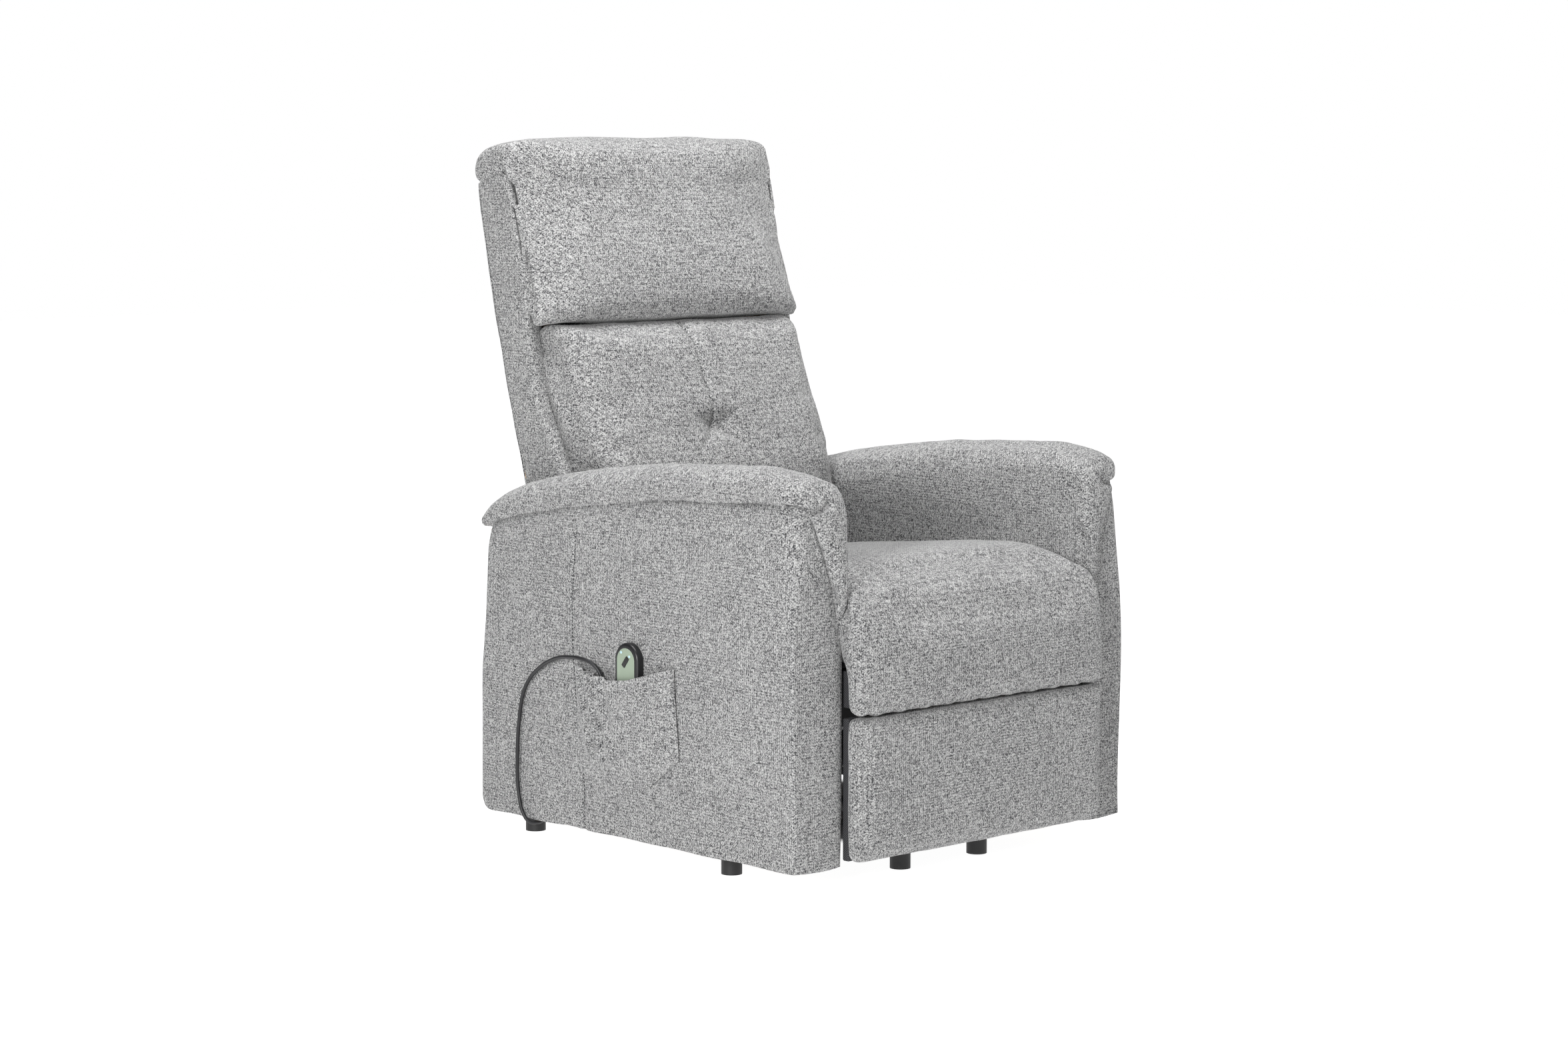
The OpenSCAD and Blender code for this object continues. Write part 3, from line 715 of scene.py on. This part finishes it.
class CHAIR_OT_seat(bpy.types.Operator):
    """Seat cushion with its waterfall front"""
    bl_idname = "chair.seat"
    bl_label = "Seat"

    def execute(self, context):
        outline = [(114, 336), (114, 424), (60, 436), (-71, 448), (-160, 457), (-221, 463),
                   (-300, 467), (-352, 464), (-392, 454), (-420, 437), (-435, 409), (-441, 368),
                   (-442, 330), (-442, 296), (-444, 274), (-442, 263), (-424, 261), (-410, 268),
                   (-408, 300), (-404, 334), (-340, 336)]

        def half_width(y, z):
            return 252 + 17 * smooth_step((-396 - y) / 14)

        def crown(t, y, z):
            rise = (1 - t * t) * 7
            return (y - 0.4 * rise * smooth_step((-400 - y) / 20) * (1 if 280 < z < 450 else 0),
                    z + rise * smooth_step((z - 400) / 40))

        seat = across("seat_cover", outline, half_width, crown, soft=0.7)

        def held(x, y, z):
            return 1.0 if z < 345 and (y > -400 or z < 272) else 0.0

        puff(seat, 6, 3.5, 7, held)
        points = coordinates(seat)
        away = normals(seat)
        for i, (x, y, z) in enumerate(points):
            if y < -400 and z < 300:
                fade = math.exp(-((z - 264) / 11) ** 2)
                wave = math.sin(x / 7.5) + 0.6 * math.sin(x / 4.1 + 1)
                points[i] += away[i] * wave * fade * (0.7 + 1.1 * (abs(x) / 262) ** 6)
        place(seat, points)
        cover_piece(seat, "carriage", "seat_cushion")
        return {"FINISHED"}


class CHAIR_OT_footrest(bpy.types.Operator):
    """Footrest pad with its side borders"""
    bl_idname = "chair.footrest"
    bl_label = "Footrest"

    def execute(self, context):
        outline = [(-439, 44), (-420, 41), (-408, 43), (-406, 60), (-406, 240), (-408, 256),
                   (-420, 261), (-441, 261), (-444, 250), (-443, 236), (-444, 150), (-443, 70)]

        def half_width(y, z):
            return 262.5 - 8 * smooth_step((62 - z) / 26) ** 2

        def crown(t, y, z):
            return (y - (2.2 * (1 - t * t) if y < -425 else 0), z)

        foot = across("footrest_cover", outline, half_width, crown, soft=0.25)
        puff(foot, 4, 2.5, 2.5, lambda x, y, z: 1.0 if y > -412 else 0.0, soften=2)
        for side in (-1, 1):
            groove(foot, [(-436, 52), (-436, 254)], 2.4, 3.4, FROM_SIDE,
                   lambda x, y, z, side=side: x * side > 256)
        ruffle(foot, 0.9, 38, 3.0)
        cover_piece(foot, "footrest", "footrest_pad")
        deselect()
        bpy.ops.mesh.primitive_cube_add(size=1, location=(0, -397.4 * MM, 149 * MM))
        backing = bake_size("footrest_backing", (510.6 * MM, 13.4 * MM, 214 * MM))
        apply_modifier(backing, "BEVEL", width=3 * MM, segments=3, limit_method="ANGLE")
        crisp(backing, 40)
        finish_piece(backing, "footrest", finish("backing"), "timber", "footrest_board")
        return {"FINISHED"}


class CHAIR_OT_back_cushion(bpy.types.Operator):
    """Lower back cushion with its centre seam and tuck"""
    bl_idname = "chair.back_cushion"
    bl_label = "Back cushion"

    def execute(self, context):
        levels = [  # height, half width, front at the middle, side seam
            (26, 236, -88, -10), (34, 246, -104, -6), (60, 250, -122, -4), (100, 251, -134, -4),
            (137, 251, -137, -4), (160, 251, -136, -4), (172, 251, -133, -5), (178, 258, -131, -50),
            (219, 262, -121, -42), (266, 262, -109, -28), (310, 262, -102, -16), (350, 262, -94, -8),
            (380, 262, -87, -8), (398, 262, -79, -12), (409, 260, -66, -16), (416, 255, -48, -20)]
        rings = []
        for z, w, front, seam in levels:
            ring = []
            shoulder = min(28, (seam - front) * 0.6)
            for x, y in ((0, front), (0.3 * w, front), (0.6 * w, front + 0.5), (0.82 * w, front + 2),
                         (0.92 * w, front + 0.14 * shoulder), (0.975 * w, front + 0.45 * shoulder),
                         (w, front + shoulder), (w, (front + shoulder + seam) / 2), (w - 1, seam),
                         (w - 8, min(-2, seam + 4)), (0.7 * w, -2), (0.3 * w, -2)):
                ring.append((x, y, z))
            mirrored = [(-x, y, z) for x, y, z in reversed(ring) if x > 0]
            rings.append(ring + [(0, -2, z)] + mirrored)
        cushion = loft("back_cover", rings)

        def held(x, y, z):
            return 1.0 if y > -8 else 0.0

        puff(cushion, 6, 3.5, 7, held)
        points = coordinates(cushion)
        for i, (x, y, z) in enumerate(points):
            if y > -30:
                continue
            seam = 8.5 * math.exp(-((x / 4.5) ** 2)) * smooth_step((z - 214) / 14)
            tuck = 15 * math.exp(-((x / 36) ** 2 + ((z - 222) / 20) ** 2))
            roll = 5 * math.exp(-((x / 90) ** 2 + ((z - 258) / 26) ** 2))
            fold = 0
            for way in (-1, 1):
                reach = way * x
                if reach > 0:
                    ray = z - 222 + 0.75 * reach
                    fold += 5 * math.exp(-((ray / 7) ** 2)) * math.exp(-((reach - 22) / 34) ** 2)
                    ray = z - 222 - 0.5 * reach
                    fold += 2.5 * math.exp(-((ray / 8) ** 2)) * math.exp(-((reach - 24) / 30) ** 2)
            points[i, 1] += seam + tuck + fold - roll
        place(cushion, points)
        ruffle(cushion, 1.6, 55, 7.0, lambda x, y, z: 1.0 if y < -20 else 0.0)
        lean_back(cushion)
        cover_piece(cushion, "back", "back_cushion")
        line = [back_point(0, 0, z) for z in range(236, 398, 6)]
        stitches("back_centre_stitches", line, (0, math.cos(RAKE), -math.sin(RAKE)), cushion, "back")
        return {"FINISHED"}


class CHAIR_OT_headrest(bpy.types.Operator):
    """Headrest pillow that hangs over the back's top"""
    bl_idname = "chair.headrest"
    bl_label = "Headrest"

    def execute(self, context):
        outline = [(-21, 409), (-40, 406), (-62, 403), (-74, 410), (-79, 436), (-75, 490),
                   (-64, 560), (-57, 620), (-56, 660), (-52, 692), (-37, 707), (-10, 713), (25, 713),
                   (47, 706), (60, 691), (63, 668), (58, 661), (10, 660), (-12, 659), (-21, 640),
                   (-21, 520)]

        def half_width(y, z):
            t = (z - 410) / 300
            tuck = 15 * smooth_step((y + 46) / 22) * (1 - smooth_step((z - 640) / 20))
            return 287 - 4 * math.sin(math.pi * min(1, t * 1.25)) + 3 * (1 - smooth_step(t * 6)) - tuck

        def crown(t, y, z):
            out = (1 - t ** 4) * 3
            dome = 31 * max(0, (abs(t) - 0.64) / 0.36) ** 2.2 * smooth_step((-26 - y) / 34)
            return (y - out + dome if y < -26 else y, z + (2.4 * out if z > 695 else 0))

        pillow = across("headrest_cover", outline, half_width, crown, soft=0.8)

        def held(x, y, z):
            return 1.0 if y > -26 and z < 664 else 0.0

        puff(pillow, 5.5, 3.5, 6, held)
        for side in (-1, 1):
            edge = np.array([(-46, 420), (-45, 450), (-38, 515), (-32, 566), (-29, 646), (-22, 690)],
                            float)
            groove(pillow, edge, 2.6, -2.6, FROM_SIDE, lambda x, y, z, side=side: x * side > 262)
            groove(pillow, edge + (7, 0), 3.0, 5, FROM_SIDE, lambda x, y, z, side=side: x * side > 262)
        ruffle(pillow, 1.8, 70, 11.0)
        lean_back(pillow)
        cover_piece(pillow, "back", "headrest_pillow")
        return {"FINISHED"}


class CHAIR_OT_back_shell(bpy.types.Operator):
    """Side and rear cover of the back"""
    bl_idname = "chair.back_shell"
    bl_label = "Back cover"

    def execute(self, context):
        levels = [  # height, half width, side seam, rear
            (165, 286, -58, 51), (178, 287, -55, 51), (219, 288, -44, 52), (266, 289, -31, 54),
            (310, 290, -25, 56), (350, 290, -24, 58), (380, 289, -24, 60), (404, 288, -25, 62),
            (440, 287, -28, 65), (500, 286, -27, 68), (560, 285, -26, 68), (620, 286, -25, 66),
            (648, 287, -24, 64), (660, 287, -22, 62)]
        points, faces = [], []
        for z, w, seam, rear in levels:
            lip = 262 if z < 400 else 272
            half = [(lip - 26, seam + 14), (lip - 4, seam + 2), (lip + 9, seam - 1), (w - 2, seam - 1),
                    (w + 0.5, seam + 3), (w + 1, seam + 24),
                    (w + 1, (seam + rear) / 2), (w + 0.5, rear - 24), (w - 2, rear - 12),
                    (w - 9, rear - 3), (w - 22, rear), (0.8 * w, rear + 2), (0.5 * w, rear + 3),
                    (0.2 * w, rear + 3)]
            row = half + [(0, rear + 3)] + [(-x, y) for x, y in reversed(half)]
            points += [(x, y, z) for x, y in row]
        for i in range(len(levels) - 1):
            for k in range(len(row) - 1):
                a = i * len(row) + k
                faces.append((a, a + 1, a + 1 + len(row), a + len(row)))
        shell = mesh_object("back_shell", points, faces)
        subdivide(shell, 2)
        if sum(p.normal.y for p in shell.data.polygons if p.center.y > 0.05) < 0:
            shell.data.flip_normals()
        thicken(shell, CLOTH_T, -1)
        subdivide(shell)
        smooth(shell)
        for side in (-1, 1):
            groove(shell, [(38, 176), (44, 310), (52, 440), (54, 560), (50, 654)], 2.2, 1.8, FROM_SIDE,
                   lambda x, y, z, side=side: x * side > 270)
        ruffle(shell, 1.2, 60, 5.0)
        lean_back(shell)
        cover_piece(shell, "back", "back_rear_panel", "back_side_panels")
        rows = [[(x, 50 + sag * math.cos(x / 90), z) for x in range(-252, 253, 21)]
                for z, sag in ((-14, 0), (20, 0.8), (80, 1.2), (140, 0.8), (169, 0))]
        skirt = loft("back_skirt", rows, closed=False)
        subdivide(skirt)
        thicken(skirt, CLOTH_T)
        apply_modifier(skirt, "BEVEL", width=1.2 * MM, segments=2)
        smooth(skirt)
        lean_back(skirt)
        cover_piece(skirt, "back", "back_rear_panel")
        for side, name in ((-1, "right"), (1, "left")):
            line = [back_point(side * 290, y, z) for y, z in
                    ((38, 180), (44, 310), (52, 440), (54, 560), (50, 650))]
            stitches(f"back_side_stitches_{name}", line, (-side, 0, 0), shell, "back")
        return {"FINISHED"}


# Side lines of the arm pads, as [y, z]: the seam with the arm cover, and the pads' top
SEAM = [(-400, 570), (-364, 573), (-324, 571), (-239, 566), (-108, 561), (-13, 553), (100, 537),
        (228, 517), (312, 493), (350, 480)]
CREST = [(-400, 604), (-369, 617), (-335, 624), (-300, 628), (-131, 619), (-69, 616), (72, 600),
         (148, 588), (274, 562), (320, 536), (348, 508), (352, 495)]


def look_up(table, y):
    return float(np.interp(y, [p[0] for p in table], [p[1] for p in table]))


def arm_bow(h):
    """How far the arm's outer panel swells at a share h of its height."""
    return 5 * math.sin(math.pi * min(1, h * 0.9)) * smooth_step(h / 0.5)


class CHAIR_OT_arm_covers(bpy.types.Operator):
    """Box covers of the two arms: outer, front, rear and inner panels"""
    bl_idname = "chair.arm_covers"
    bl_label = "Arm covers"

    def execute(self, context):
        heights = [0.0, 0.012, 0.03, 0.08, 0.16, 0.26, 0.36, 0.48, 0.6, 0.7, 0.79, 0.87, 0.94, 1.0]
        for side, name in ((-1, "right"), (1, "left")):
            rows = []
            for h in heights:
                corner = 5 + 36 * smooth_step((HEM + h * ARM_RISE - 330) / 230)
                rear = 350 - 26 * smooth_step(h) ** 1.3
                out = 355 + arm_bow(h)
                front = -395.0
                plan = [(260, front + 14), (258, front + 3), (263, front), (285, front - 0.5),
                        (310, front - 0.5)]
                for step in range(7):
                    a = math.pi / 2 * step / 6
                    plan.append((out - corner + corner * math.sin(a),
                                 front + corner - corner * math.cos(a)))
                ys = [-330, -280, -230, -180, -130, -80, -30, 20, 60, 84, 100, 108, 116, 132, 160, 200,
                      240, 280, 310]
                plan += [(out + 0.6 * math.sin(y / 37.0 + h * 4), y)
                         for y in ys if y > front + corner + 8]
                while len(plan) < 12 + len(ys):
                    (ax, ay), (bx, by) = plan[11:13]
                    plan.insert(12, ((ax + bx) / 2, (ay + by) / 2))
                plan += [(out - 1, rear - 14), (out - 3, rear - 4), (out - 12, rear), (310, rear + 0.5),
                         (275, rear), (262, rear - 4)]
                row = []
                for x, y in plan:
                    hem = 1.6 * math.sin(y / 21.0 + x / 17.0) * (1 - smooth_step(h / 0.06))
                    top = look_up(SEAM, y) + 3
                    low = HEM + (26 if y > rear - 6 and x < out - 2 else 0)
                    z = low + h * (top - low) + hem
                    tuck = 8 * smooth_step((h - 0.93) / 0.07)
                    away = tuck if x > 340 else 0
                    forward = tuck * 0.3 if y < front + 10 else 0
                    row.append((side * (x - away), y + forward, z))
                rows.append(row)
            cover = loft(f"arm_cover_{name}", rows, closed=False)
            subdivide(cover, 2)
            outer = [p for p in cover.data.polygons if abs(p.center.x) > 0.35]
            if sum(p.normal.x * side for p in outer) < 0:
                cover.data.flip_normals()
            thicken(cover, CLOTH_T, -1)
            smooth(cover)
            seam = [(94, 545), (99, 500), (103, 445), (106, 330), (100, 237), (89, 154), (85, 102),
                    (84, 30)]
            groove(cover, seam, 3.2, 2.6, FROM_SIDE, lambda x, y, z: abs(x) > 345)
            edge = [(side * x, z) for x, z in ((326, 556), (305, 505), (295, 480), (286, 455),
                                               (279, 430), (272, 405))]
            groove(cover, edge, 6, 4, FROM_FRONT, lambda x, y, z: y < -385)
            ruffle(cover, 1.5, 80, 2.0 + side)
            cover_piece(cover, "carriage", "arm_side_panels", "arm_front_panels", "arm_rear_panels")
            rows = [[(side * (259.5 + 0.4 * math.sin(y / 60)), y, min(z, look_up(SEAM, y) - 6))
                     for y in (-392, -384, -300, -200, -100, 0, 100, 200, 300, 340)]
                    for z in (101, 108, 180, 260, 330, 420, 500, 550)]
            inner = loft(f"arm_inner_{name}", rows, closed=False)
            subdivide(inner)
            thicken(inner, 3.2)
            smooth(inner)
            cover_piece(inner, "carriage", "arm_inner_panels")
            line = [(side * 360, y, z) for y, z in seam[1:]]
            stitches(f"arm_stitches_{name}", line, (-side, 0, 0), cover, "carriage")
        return {"FINISHED"}


class CHAIR_OT_arm_pads(bpy.types.Operator):
    """Arm pads that roll over the arm, hang inside it and wrap over its front"""
    bl_idname = "chair.arm_pads"
    bl_label = "Arm pads"

    def execute(self, context):
        for side, name in ((-1, "right"), (1, "left")):
            rings = []
            for y in (347, 336, 318, 290, 250, 200, 148, 72, 0, -69, -131, -200, -260, -305, -338, -362):
                base, crest = look_up(SEAM, y) + 2, look_up(CREST, y) - 3
                rear = smooth_step((350 - y) / 40)
                bulb = smooth_step((-300 - y) / 60)
                rings.append(self.section(side, Vector((0, y, base)), 0, crest - base,
                                          348 + 10 * rear + 4 * bulb, 257, 22 * rear + 2))
            for turn, y, z, high, wide, drop in (
                    (24, -377, 573, 38, 352, 22), (46, -384, 571, 29, 343, 20),
                    (66, -389, 566, 23, 335, 17), (84, -391, 556, 22, 325, 14),
                    (90, -392, 532, 22, 314, 12), (90, -392, 505, 23, 302, 12),
                    (90, -392, 480, 23, 292, 11), (90, -392, 455, 22, 283, 10),
                    (90, -392, 430, 20, 277, 9), (90, -392, 414, 12, 273, 8), (90, -392, 403, 7, 269, 5)):
                inner = 257 if z > 470 else 257 + 7 * smooth_step((478 - z) / 30)
                rings.append(self.section(side, Vector((0, y, z)), math.radians(turn), high, wide,
                                          inner, drop))
            pad = loft(f"arm_pad_cover_{name}", rings)
            curtain = []
            for y in (340, 300, 250, 180, 100, 0, -100, -200, -300, -350, -378, -394, -402):
                high = look_up(CREST, y) - 24
                if y < -370:
                    high -= (-370 - y) * 1.2
                low = 404
                front = smooth_step((-380 - y) / 26)
                curtain.append([(side * x, y, z) for x, z in (
                    (264, low), (258, low + 4), (256.4, low + 40), (255.2, 500), (255.2, 540),
                    (257, high - 12), (262, high), (270, high - 4), (272 - 4 * front, high - 30),
                    (270 - 3 * front, 480), (268 - 2 * front, low + 10))])
            hang = loft(f"arm_hang_{name}", curtain)
            select(pad)
            hang.select_set(True)
            bpy.ops.object.join()
            puff(pad, 5, 3.0, 4, self.held)
            self.keep_clear(pad, side)
            fold = [(side * x, z) for x, z in ((356, 572), (340, 568), (322, 567), (305, 571),
                                               (297, 578))]
            groove(pad, fold, 4.6, 9, FROM_FRONT, lambda x, y, z: y < -366)
            for x, z, run in ((276, 552, 26), (272, 520, 20), (270, 497, 16)):
                line = [(side * x, z), (side * (x + run), z + 3)]
                groove(pad, line, 3.2, 1.8, FROM_FRONT, lambda x, y, z: y < -398)
            ruffle(pad, 1.3, 45, 9.0 + side, lambda x, y, z: 1.0 if abs(x) > 259 else 0.2)
            cover_piece(pad, "carriage", f"arm_pad_{name}", "arm_scrolls")
        return {"FINISHED"}

    def held(self, x, y, z):
        return 1.0 if z < 420 or abs(x) < 254 or (z < 548 and y < -370) else 0.0

    def section(self, side, base, turn, high, out, inner, drop):
        """One ring of the roll: base is on the seam, turned from up to forward."""
        up = Vector((0, -math.sin(turn), math.cos(turn)))
        seam_in = min(10, 0.4 * drop)
        points = [(out - 9 - seam_in, 0), (out - 3, 0.06 * high), (out + 1, 0.22 * high),
                  (out + 2, 0.42 * high), (out - 3, 0.66 * high), (out - 14, 0.86 * high),
                  (out - 32, 0.98 * high), ((out + inner) / 2, high), (inner + 26, 0.97 * high),
                  (inner + 12, 0.88 * high), (inner + 3, 0.7 * high), (inner, 0.48 * high),
                  (inner + 0.5, 0.2 * high), (inner + 4, 0), ((out + inner) / 2, -1)]
        return [tuple(Vector((side * x, 0, 0)) + base + up * h) for x, h in points]

    def keep_clear(self, pad, side):
        """Holds the hanging inner face off the seat and the nose."""
        points = coordinates(pad)
        inside = np.abs(points[:, 0])
        above = np.clip((points[:, 2] - 472) / 60, 0, 1)
        above = above * above * (3 - 2 * above)
        ahead = np.clip((-388 - points[:, 1]) / 10, 0, 1)
        floor = 255.6 + 10 * ahead * (1 - above) - 3.6 * above
        points[:, 0] = side * np.maximum(inside, floor)
        place(pad, points)


class CHAIR_OT_valance(bpy.types.Operator):
    """Cloth valance between the arms at the rear"""
    bl_idname = "chair.valance"
    bl_label = "Valance"

    def execute(self, context):
        rows = []
        for z in (61, 64, 90, 150, 210, 270, 322, 328):
            low = 1 - smooth_step((z - 61) / 120)
            rows.append([(x, 341 + 1.5 * low * math.sin(x / 26.0), z + 1.2 * low * math.sin(x / 31.0))
                         for x in range(-254, 255, 12)])
        valance = loft("rear_valance_cover", rows, closed=False)
        subdivide(valance)
        thicken(valance, 3)
        smooth(valance)
        cover_piece(valance, "carriage", "rear_valance")
        line = [(x, 345, 74) for x in range(-246, 247, 12)]
        stitches("valance_stitches", line, (0, -1, 0), valance, "carriage")
        return {"FINISHED"}


class CHAIR_OT_pocket(bpy.types.Operator):
    """Gathered cloth pocket on the right arm"""
    bl_idname = "chair.pocket"
    bl_label = "Pocket"

    def execute(self, context):
        rows = []
        for v in np.linspace(0, 1, 41).tolist():
            row = []
            for u in np.linspace(0, 1, 65).tolist():
                top = float(np.interp(u, [0, 0.12, 0.42, 0.6, 1], [297, 291, 282, 286, 312]))
                low = float(np.interp(u, [0, 0.35, 0.7, 1], [126, 108, 122, 172]))
                left = 94 - 5 * (1 - v)
                right = -136 - 8 * (1 - v)
                y = left + (right - left) * u
                z = low + (top - low) * v
                swell = math.sin(math.pi * u) ** 0.45
                over = math.exp(-((y + 37) / 44) ** 2)
                hand = 3.2 * over * smooth_step((v - 0.3) / 0.5)
                bulge = 1.2 + swell * (14.5 * smooth_step(v * 3) + hand)
                gather = math.exp(-((u - 0.25) / 0.17) ** 2) * smooth_step(v * 1.5)
                bulge += 6.4 * gather * math.sin(u * 50 - 8 * (1 - v))
                slack = math.exp(-((u - 0.5) / 0.25) ** 2) * smooth_step(v) * (1 - v)
                bulge += 3.0 * slack * math.sin((y + 0.8 * z) / 11.0)
                bulge = max(bulge, 4.2 * min(1, 9 * u, 9 * (1 - u), 9 * v))
                if u == 0 or u == 1 or v == 0:
                    bulge = 0.2
                row.append((-(356.0 + arm_bow((z - HEM) / ARM_RISE) + bulge), y, z))
            rows.append(row)
        pocket = loft("pocket_cover", rows, closed=False)
        if sum(p.normal.x for p in pocket.data.polygons) > 0:
            pocket.data.flip_normals()
        thicken(pocket, 1.4, 1)
        subdivide(pocket)
        smooth(pocket)
        cover_piece(pocket, "carriage", "side_pocket")
        return {"FINISHED"}


class CHAIR_OT_hand_control(bpy.types.Operator):
    """Hand control: shell, key plate, rocker and two symbols"""
    bl_idname = "chair.hand_control"
    bl_label = "Hand control"

    def capsule(self, name, x0, x1, radius, z0, z1, y, edge):
        """A flat form with round ends, standing on the arm's side: made from a cylinder."""
        deselect()
        bpy.ops.mesh.primitive_cylinder_add(vertices=48, radius=radius * MM, depth=abs(x1 - x0) * MM,
                                            location=((x0 + x1) / 2 * MM, y * MM, z0 * MM + radius * MM),
                                            rotation=(0, math.pi / 2, 0))
        obj = bpy.context.active_object
        obj.name = name
        bpy.ops.object.transform_apply(location=True, rotation=True, scale=True)
        points = coordinates(obj)
        middle = z0 + radius
        points[points[:, 2] > middle + 0.01, 2] += z1 - z0 - 2 * radius
        place(obj, points)
        select(obj)
        bpy.ops.object.mode_set(mode="EDIT")
        bpy.ops.mesh.select_all(action="SELECT")
        bpy.ops.mesh.normals_make_consistent(inside=False)
        bpy.ops.object.mode_set(mode="OBJECT")
        apply_modifier(obj, "BEVEL", width=edge * MM, segments=5, limit_method="ANGLE",
                       angle_limit=math.radians(50))
        crisp(obj)
        return obj

    def execute(self, context):
        shell = self.capsule("control_shell", -357, -372.4, 27.5, 217, 342, -37, 5)
        finish_piece(shell, "carriage", finish("handset_shell"), "handset_shell", "handset_body")
        plate = self.capsule("control_plate", -371.0, -373.0, 20.2, 225.6, 334.2, -37, 0.6)
        finish_piece(plate, "carriage", finish("handset_plate"), "handset_plate", "handset_face")
        deselect()
        bpy.ops.mesh.primitive_cube_add(size=1, location=(-372.6 * MM, -37 * MM, 313 * MM))
        rocker = bake_size("control_rocker", (3.6 * MM, 8.5 * MM, 19 * MM), (math.radians(38), 0, 0))
        apply_modifier(rocker, "BEVEL", width=3.4 * MM, segments=6, limit_method="ANGLE", affect="EDGES")
        crisp(rocker)
        finish_piece(rocker, "rocker", finish("handset_button"), "handset_button", "handset_rocker")
        for k, (y, z) in enumerate(((-27, 327), (-46, 322))):
            deselect()
            bpy.ops.mesh.primitive_uv_sphere_add(segments=16, ring_count=8, radius=2.6 * MM,
                                                 location=(-373.0 * MM, y * MM, z * MM))
            dot = bake_size(f"control_symbol_{k}", (0.25, 1, 0.8))
            smooth(dot)
            finish_piece(dot, "carriage", finish("symbol"), "handset_plate")
        return {"FINISHED"}


class CHAIR_PT_panel(bpy.types.Panel):
    """Lists the chair's pieces"""
    bl_idname = "CHAIR_PT_panel"
    bl_label = "Lift Recliner"
    bl_space_type = "VIEW_3D"
    bl_region_type = "UI"
    bl_category = "Chair"

    def draw(self, context):
        for key in ChairSettings.__annotations__:
            self.layout.prop(context.scene.chair_settings, key)
        for operator in OPERATORS:
            self.layout.operator(operator.bl_idname)


OPERATORS = [
    CHAIR_OT_stage, CHAIR_OT_cord, CHAIR_OT_frame_finish, CHAIR_OT_seat, CHAIR_OT_footrest,
    CHAIR_OT_back_cushion, CHAIR_OT_headrest, CHAIR_OT_back_shell, CHAIR_OT_arm_covers,
    CHAIR_OT_arm_pads, CHAIR_OT_valance, CHAIR_OT_pocket, CHAIR_OT_hand_control,
]
CLASSES = [ChairSettings, *OPERATORS, CHAIR_PT_panel]


def register():
    for item in CLASSES:
        bpy.utils.register_class(item)
    bpy.types.Scene.chair_settings = bpy.props.PointerProperty(type=ChairSettings)


def unregister():
    del bpy.types.Scene.chair_settings
    for item in reversed(CLASSES):
        bpy.utils.unregister_class(item)


def main():
    register()
    for operator in OPERATORS:
        group, name = operator.bl_idname.split(".")
        getattr(getattr(bpy.ops, group), name)()


if __name__ == "__main__":
    main()
